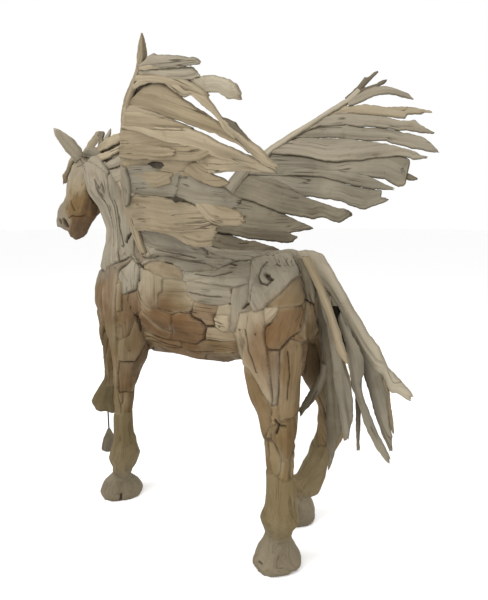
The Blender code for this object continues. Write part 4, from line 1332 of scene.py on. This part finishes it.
farSpar = [
    ("wing_spar_right", 1.5, "pale",
     [(358, 88), (346, 99), (331, 108), (311, 121), (291, 133), (271, 146), (262, 152)],
     [(361, 91), (349, 103), (334, 112), (314, 125), (294, 138), (274, 151), (264, 160)]),
    ("wing_spar_right", 1.3, "silver",
     [(274, 144), (263, 152), (250, 160), (236, 171), (228, 181), (215, 200), (200, 225), (190, 245)],
     [(276, 149), (263, 164), (250, 174), (240, 186), (228, 205), (212, 232), (200, 250)]),
]
farWingExtras = [
    ("wing_spar_right", -2.2, "ash",
     [(330, 110), (311, 123), (291, 135), (272, 148), (264, 154), (251, 162), (238, 174), (230, 184),
      (217, 203), (203, 227), (193, 246)],
     [(338, 121), (321, 135), (302, 148), (286, 162), (276, 176), (266, 190), (254, 205), (243, 221),
      (231, 239), (220, 250), (206, 254)]),
    ("right_feather_05", -1, "dusk",
     [(398, 168), (405, 171), (412, 175.5), (417, 178)],
     [(398, 178), (404, 179), (409, 180.5), (417, 180)]),
]

# Tail and mane, in upright planes beside the middle: node, shift to the side, wood, thickness, both edges
tailSheets = [
    ("tail_main_branch", -0.010, "pale", 0.060,
     [(296, 251), (305, 249.5), (313, 250), (322, 254), (328, 262), (336, 278), (344.5, 292),
      (351, 305), (357, 315), (369, 335), (379, 348), (383, 357), (387, 367), (397, 376.5),
      (406, 386.5), (412, 394.5)],
     [(298, 262), (306, 266), (312, 273), (318, 284), (331, 294), (340, 308), (346, 320), (352, 331),
      (360, 346), (366, 358), (375, 370), (384, 375), (388, 386), (391, 392.5), (398, 393),
      (404, 396.5), (410.5, 400.5)]),
    ("tail_main_branch", -0.014, "dun", 0.030,
     [(380, 352), (386, 368), (389, 385), (390, 402), (392.5, 416), (394.5, 432)],
     [(371, 356), (376, 375), (384, 395), (387, 412), (389, 425), (393, 435)]),
    ("tail_main_branch", -0.004, "ash", 0.030,
     # painted shade: the darker ash of this sheet stands for the shadow behind the main branch
     [(374, 356), (382, 374), (387, 395), (388, 412), (389.5, 424), (392, 438), (392.5, 450)],
     [(355, 343), (361, 360), (365, 378), (371, 400), (377, 420), (384, 438), (390, 451)]),
    # painted shadow: a near-black sheet in the dark gap between the strands
    ("tail_broad_strand", -0.012, "hollow", 0.020,
     [(337, 306), (345, 318), (352, 330), (360, 346), (364, 362)],
     [(332, 306), (335, 318), (339, 332), (345, 350), (353, 366)]),
    ("tail_long_strand", 0.060, "ash", 0.024,
     [(341, 311), (350, 330), (358, 345), (363, 357), (364, 372), (360, 385), (365, 401), (372, 418),
      (379, 436), (386, 449), (390, 460)],
     [(338, 318), (343, 336), (347, 350), (349, 367), (351, 384), (355, 396), (361, 412), (368, 432),
      (377, 449), (388, 463)]),
    ("tail_long_strand", 0.045, "dusk", 0.018,
     [(362, 372), (361.5, 385), (361, 400), (360, 425), (359.5, 450)],
     [(354.5, 372), (354.5, 385), (355, 400), (355.5, 425), (357, 450)]),
    ("tail_curved_strand", 0.118, "dun", 0.026,
     [(309, 256), (316, 269), (322, 283), (328, 298), (334, 314), (339, 330), (344, 347), (349, 364)],
     [(301, 256), (308, 269), (314, 283), (320, 298), (327, 318), (332, 338), (338, 353), (346, 364)]),
    ("tail_curved_strand", 0.112, "dusk", 0.022,
     [(305, 260), (310, 270), (313, 280), (314, 292), (314.5, 302)],
     [(297, 258), (300, 266), (303, 278), (305, 290), (308, 300)]),
    ("tail_thin_strand", 0.077, "ash", 0.020,
     [(320, 284), (328, 305), (335, 330), (340, 350), (344, 368), (350, 385), (353.5, 402), (353, 418),
      (348, 440)],
     [(312, 284), (321, 305), (327, 330), (331, 352), (333, 375), (337, 398), (341, 420), (344, 440)]),
    ("tail_broad_strand", 0.010, "dusk", 0.050,
     [(324, 296), (331, 322), (338, 345), (343, 368), (346, 390), (346.5, 412), (339, 436), (330, 468)],
     [(311, 300), (318, 320), (321, 345), (323, 370), (326, 400), (327, 430), (328, 455), (328, 470)]),
    ("tail_side_branch", 0.030, "dusk", 0.022,
     [(328, 365), (328, 377), (319.5, 393), (310, 406), (300.5, 416)],
     [(321, 362), (319.5, 373), (313, 386.5), (305, 399), (297, 411)]),
]
maneSheets = [
    ("mane_lock_1", -0.014, "dusk", 0.012,
     [(97, 147), (106, 142), (113, 139), (120, 136)],
     [(101, 158), (108, 157), (114, 154), (120, 152)]),
    ("mane_lock_1", 0.000, "ash", 0.020,
     [(82, 152), (88, 149), (97, 147), (102, 146)],
     [(82, 157), (92, 158.5), (98, 160.5), (103, 159)]),
    ("mane_lock_1", 0.003, "dusk", 0.014,
     [(99, 131.5), (101, 131), (103.5, 131.5), (104, 134), (102.5, 138), (103, 142), (104, 146)],
     [(97, 135), (98, 136), (99, 137), (99, 140), (98.5, 143), (98, 147), (99, 150)]),
    ("mane_lock_1", 0.006, "sand", 0.016,
     [(96, 148), (101, 143), (108, 138), (114, 134.5), (122, 132.5)],
     [(99, 152), (105, 150), (110, 147.5), (115, 144.5), (122, 141)]),
    ("mane_lock_2", -0.012, "dusk", 0.012,
     [(100, 156), (108, 152), (120, 148)],
     [(104, 168), (112, 166), (120, 164)]),
    ("mane_lock_2", 0.006, "sand", 0.016,
     [(93, 157), (100, 153.5), (108, 151.5), (114, 148.5), (120, 145)],
     [(97, 162), (103, 161), (110, 157.5), (115, 154.5), (120, 151)]),
    ("mane_lock_2", -0.004, "silver", 0.014,
     [(110.5, 128), (108, 132), (105, 137), (103, 142)],
     [(111, 129), (110.5, 134), (109, 139), (107, 143)]),
    ("mane_lock_3", 0.006, "silver", 0.016,
     [(101, 167), (106, 163.5), (112, 160), (117, 157), (121, 154)],
     [(105, 170), (110, 169), (116, 168), (122, 165)]),
    ("mane_lock_4", 0.006, "silver", 0.018,
     [(105, 171), (111, 170), (118, 168), (127, 163)],
     [(108, 184), (114, 184), (120, 182), (128, 178)]),
    ("mane_lock_4", -0.008, "ash", 0.014,
     [(112, 150), (118, 148), (124, 150), (127, 158)],
     [(113, 172), (119, 172), (125, 172), (128, 174)]),
    ("mane_lock_5", 0.004, "sand", 0.018,
     [(108, 184), (114, 183), (122, 180), (132, 168)],
     [(111, 195), (118, 193), (125, 190), (134, 184)]),
    ("mane_lock_5", -0.004, "ash", 0.018,
     [(110, 193), (118, 192), (125, 189), (135, 178)],
     [(115, 204), (121, 202), (128, 200), (136, 196)]),
]

# Ears and forelock, each in its own node's plane that faces the camera most: wood, thickness, both edges
earSheets = {
    "ear_left": ("pale", 0.020,
     [(53.5, 127.5), (59, 129), (65, 132.5), (71, 137), (77, 142.5), (82, 148.5), (83, 155), (80, 160)],
     [(53.5, 129), (55.5, 136), (59, 142.5), (63, 148.5), (67.5, 153.5), (71.5, 158), (73, 161),
      (75, 163)]),
    "ear_right": ("sand", 0.020,
     [(100, 131), (96, 131.5), (92, 137), (88, 143), (84, 149), (82, 154)],
     [(101.5, 132), (100.5, 137), (98, 143), (94, 149), (90, 153), (87, 158)]),
    "forelock": ("dun", 0.050,
     [(80, 155), (76, 161), (72, 168), (69, 176), (67, 183)],
     [(72, 156), (69, 161), (66, 169), (62.5, 175), (63, 184)]),
}


def edgeLine(line, count):  # evenly spaced places along a line of places
    corners = np.array(line, float)
    length = np.concatenate([[0], np.cumsum(np.linalg.norm(np.diff(corners, axis=0), axis=1))])
    spots = np.linspace(0, length[-1], count)
    even = np.stack([np.interp(spots, length, corners[:, 0]), np.interp(spots, length, corners[:, 1])], 1)
    soft = even.copy()
    for turn in range(3):  # takes the corners off
        soft[1:-1] = soft[1:-1] * 0.5 + (soft[:-2] + soft[2:]) * 0.25
    return soft


def onPlane(places, name, offset):  # points of a plane, moved off it by an offset
    plane = boardPlanes[name]
    face = Vector(plane["back"]).cross(Vector(plane["up"])).normalized()
    root = Vector(plane["root"]) + face * offset
    centre = np.array((cameraSet["width"] / 2, cameraSet["height"] / 2))
    spread = (places - centre) / cameraSet["focal"]
    local = np.stack([spread[:, 0], -spread[:, 1], -np.ones(len(places))], 1)
    rays = local @ viewAxes.T
    t = (root - viewPlace).dot(face) / (rays @ np.array(face))
    return viewPoint + rays * t[:, None], np.array(face)


def plankGrid(countLong, countWide):  # a closed flat box, one apart, finely divided on both faces
    bm = bmesh.new()
    bmesh.ops.create_grid(bm, x_segments=countLong, y_segments=countWide, size=0.5)
    made = bmesh.ops.extrude_face_region(bm, geom=bm.faces[:])
    top = [item for item in made["geom"] if isinstance(item, bmesh.types.BMVert)]
    bmesh.ops.translate(bm, verts=top, vec=(0, 0, 1))
    mesh = bpy.data.meshes.new("plank")
    bm.to_mesh(mesh)
    bm.free()
    return mesh


def shapePlank(upper, lower, plane, offset, thick, branch, seed):  # a board's mesh, grain, shade and lumps
    trace = plankSet["trace"]
    rear, face = onPlane(edgeLine(upper, trace), plane, offset)
    front = onPlane(edgeLine(lower, trace), plane, offset)[0]
    widths = np.linalg.norm(rear - front, axis=1)
    length = np.linalg.norm(np.diff((rear + front) / 2, axis=0), axis=1).sum()
    width = np.percentile(widths, 80)
    countLong = int(np.clip(length / plankSet["step"], 20, 190))
    countWide = int(np.clip(width / plankSet["step"] * (1.5 if branch else 1.0), 6, 30))
    mesh = plankGrid(countLong, countWide)
    flat = pointsOf(mesh)
    u, v = flat[:, 0] + 0.5, flat[:, 1] + 0.5  # along and across, both from 0 to 1
    out = np.where(flat[:, 2] > 0.5, 1.0, -1.0)
    if branch:
        v = (1 - np.cos(v * math.pi)) / 2
    none = v * 0
    steps = np.arange(trace)
    spot = u * (trace - 1)
    atRear = np.stack([np.interp(spot, steps, rear[:, k]) for k in range(3)], 1)
    atFront = np.stack([np.interp(spot, steps, front[:, k]) for k in range(3)], 1)
    wide = np.interp(spot, steps, widths)
    base = atRear * v[:, None] + atFront * (1 - v)[:, None]
    tipWay = (rear[-1] + front[-1]) - (rear[-12] + front[-12])
    splinter = flowNoise(np.stack([v * width * 150, none + seed, none], 1), seed)
    reach = smoothStep(1 - plankSet["splinterReach"] / length, 1.0, u) * splinter
    reach = reach * min(plankSet["splinter"], widths[-8] * 0.35)  # the tip ends in splinters
    base = base + tipWay / np.linalg.norm(tipWay) * reach[:, None]
    along, across = u * length, v * wide
    outward = (atRear - atFront) / (wide[:, None] + 1e-6)
    jags = []
    for rimSeed, shift in ((seed + 3, 0), (seed + 4, 9)):  # ragged rear rim, then ragged front rim
        long = flowNoise(np.stack([along * 30 + seed, none + seed + shift, none], 1), rimSeed)
        short = flowNoise(np.stack([along * 90 + seed, none + seed, none], 1), rimSeed + 10)
        jags.append(long + 0.6 * short)
    rimHigh, rimLow = smoothStep(0.75, 1.0, v), smoothStep(0.25, 0.0, v)
    base = base + outward * ((rimHigh * jags[0] - rimLow * jags[1]) * plankSet["ragged"])[:, None]
    rim = np.minimum(np.minimum(v, 1 - v) * wide, np.minimum(u, 1 - u) * length)
    ridge = flowNoise(np.stack([along * 4 + seed, across * 60 + seed, out * 2.0 + seed], 1), seed + 5)
    fine = flowNoise(np.stack([along * 9 + seed, across * 170 + seed, out * 2.0], 1), seed + 6)
    wave = flowNoise(np.stack([along * 7 + seed, across * 9, none + seed], 1), seed + 7)
    if branch:
        taper = np.sqrt(np.clip(np.minimum(u, 1 - u) * length / (wide * 0.5 + 1e-6), 0, 1))
        half = np.minimum(thick, wide * 0.95) / 2 * taper
        shape = np.sqrt(np.clip(1 - (2 * v - 1) ** 2, 0, 1)) + 0.02
        sheet = out * half * shape + out * shape * (ridge * 0.0028 + fine * 0.0012) + wave * 0.003
    else:
        half = np.minimum(thick, wide * 0.5) / 2
        edgeRise = np.clip(rim / plankSet["edgeRound"], 0, 1)
        shape = 0.45 + 0.55 * np.sqrt(1 - (1 - edgeRise) ** 2)
        sheet = out * half * shape + out * shape * (ridge * 0.0014 + fine * 0.0008)
        sheet = sheet + wave * 0.0035 - (v - 0.5) * wide * 0.05
    writePoints(mesh, base + face * sheet[:, None])
    grain = np.stack([along + seed * 2.3, across + seed * 1.3, (out + 1) * 0.05 + seed * 0.7], 1)
    grooves = smoothStep(0.4, 0.85, -ridge) * plankSet["grooveShade"]
    shade = np.maximum(grooves, smoothStep(plankSet["rimWidth"], 0.0, rim) * plankSet["rimShade"])
    return mesh, grain, shade, wave


def makeBoards(sheets, plane, layerPitch, material, branch=False):  # one piece of each node's boards
    nodes = list(dict.fromkeys(sheet[0] for sheet in sheets))
    for number, node in enumerate(nodes):
        bm = bmesh.new()
        grains, shades, tints = [], [], []
        for count, sheet in enumerate([item for item in sheets if item[0] == node]):
            seed = 100 + number * 7 + count
            layer, wood = sheet[1:3]
            thick = sheet[3] if len(sheet) == 6 else plankSet["sparThick" if "spar" in node else "thick"]
            mesh, grain, shade, wave = shapePlank(sheet[-2], sheet[-1], plane, layer * layerPitch, thick,
                                                  branch, seed)
            bm.from_mesh(mesh)
            bpy.data.meshes.remove(mesh)
            tone = 1 + 0.08 * math.sin(seed * toneScatter) + 0.10 * wave
            tints.append(np.array(woods[wood]) * tone[:, None])
            grains.append(grain)
            shades.append(shade)
        bmesh.ops.recalc_face_normals(bm, faces=bm.faces)
        whole = bpy.data.meshes.new(node + "Boards")
        bm.to_mesh(whole)
        bm.free()
        paintPoints(whole, np.concatenate(grains), np.concatenate(tints), np.concatenate(shades))
        finishPiece(whole, node + "Boards", [node], material)


makeBoards(nearSpar + nearWingBoards + nearWingExtras, "left", plankSet["nearPitch"],
           nearWingWood)
print("near wing done")
makeBoards(farSpar + farWingBoards + farWingExtras, "right", plankSet["farPitch"],
           farWingWood)
print("far wing done")
makeBoards(tailSheets, "middle", 1.0, tailWood, True)
print("tail done")
makeBoards(maneSheets, "middle", 1.0, maneWood)
for node, (wood, thick, rearEdge, frontEdge) in earSheets.items():
    middle, long = spineOf(pointsOf(frame["nodes"][node].data))[:2]
    face = np.cross(long, np.cross(middle - viewPoint, long))
    boardPlanes[node] = {"root": middle, "back": long, "up": np.cross(face / np.linalg.norm(face), long)}
    isEar = node != "forelock"
    makeBoards([(node, 0.0, wood, thick, rearEdge, frontEdge)], node, 1.0,
               headWood if isEar else maneWood, True)
print("mane and ears done")

rod = frame["nodes"]["prop_rod"]
rod.data.materials.clear()
rod.data.materials.append(rodIron)


floorSet = {"radius": 40.0, "segments": 96, "color": (0.97, 0.97, 0.965), "rough": 0.9}


def makeFloor():
    bm = bmesh.new()
    bmesh.ops.create_circle(bm, cap_ends=True, segments=floorSet["segments"], radius=floorSet["radius"])
    mesh = bpy.data.meshes.new("paleFloor")
    bm.to_mesh(mesh)
    bm.free()
    material, shader = newMaterial("paleFloor")
    shader.inputs["Base Color"].default_value = (*floorSet["color"], 1.0)
    shader.inputs["Roughness"].default_value = floorSet["rough"]
    mesh.materials.append(material)
    floor = bpy.data.objects.new("paleFloor", mesh)
    sceneLinks.link(floor)


# Soft studio light: area lights as place, aim, size, watts
lightSet = [((2.6, -1.2, 4.2), (0.0, 0.0, 1.0), 3.0, 150.0),
            ((3.0, 3.6, 2.6), (0.0, 0.1, 1.0), 3.0, 60.0),
            ((-3.5, 1.0, 3.4), (0.0, 0.0, 1.1), 3.0, 60.0)]


def makeLights():
    for number, (place, aim, size, power) in enumerate(lightSet):
        data = bpy.data.lights.new("softLight%d" % number, "AREA")
        data.shape = "DISK"
        data.size = size
        data.energy = power
        lamp = bpy.data.objects.new("softLight%d" % number, data)
        lamp.location = place
        lamp.rotation_euler = (Vector(aim) - Vector(place)).to_track_quat("-Z", "Y").to_euler()
        sceneLinks.link(lamp)
    world = bpy.data.worlds.new("paleRoom")
    world.use_nodes = True
    world.node_tree.nodes["Background"].inputs["Color"].default_value = (1.0, 1.0, 1.0, 1.0)
    world.node_tree.nodes["Background"].inputs["Strength"].default_value = 1.0
    bpy.context.scene.world = world
    bpy.context.scene.view_settings.view_transform = "Standard"


makeFloor()
makeLights()
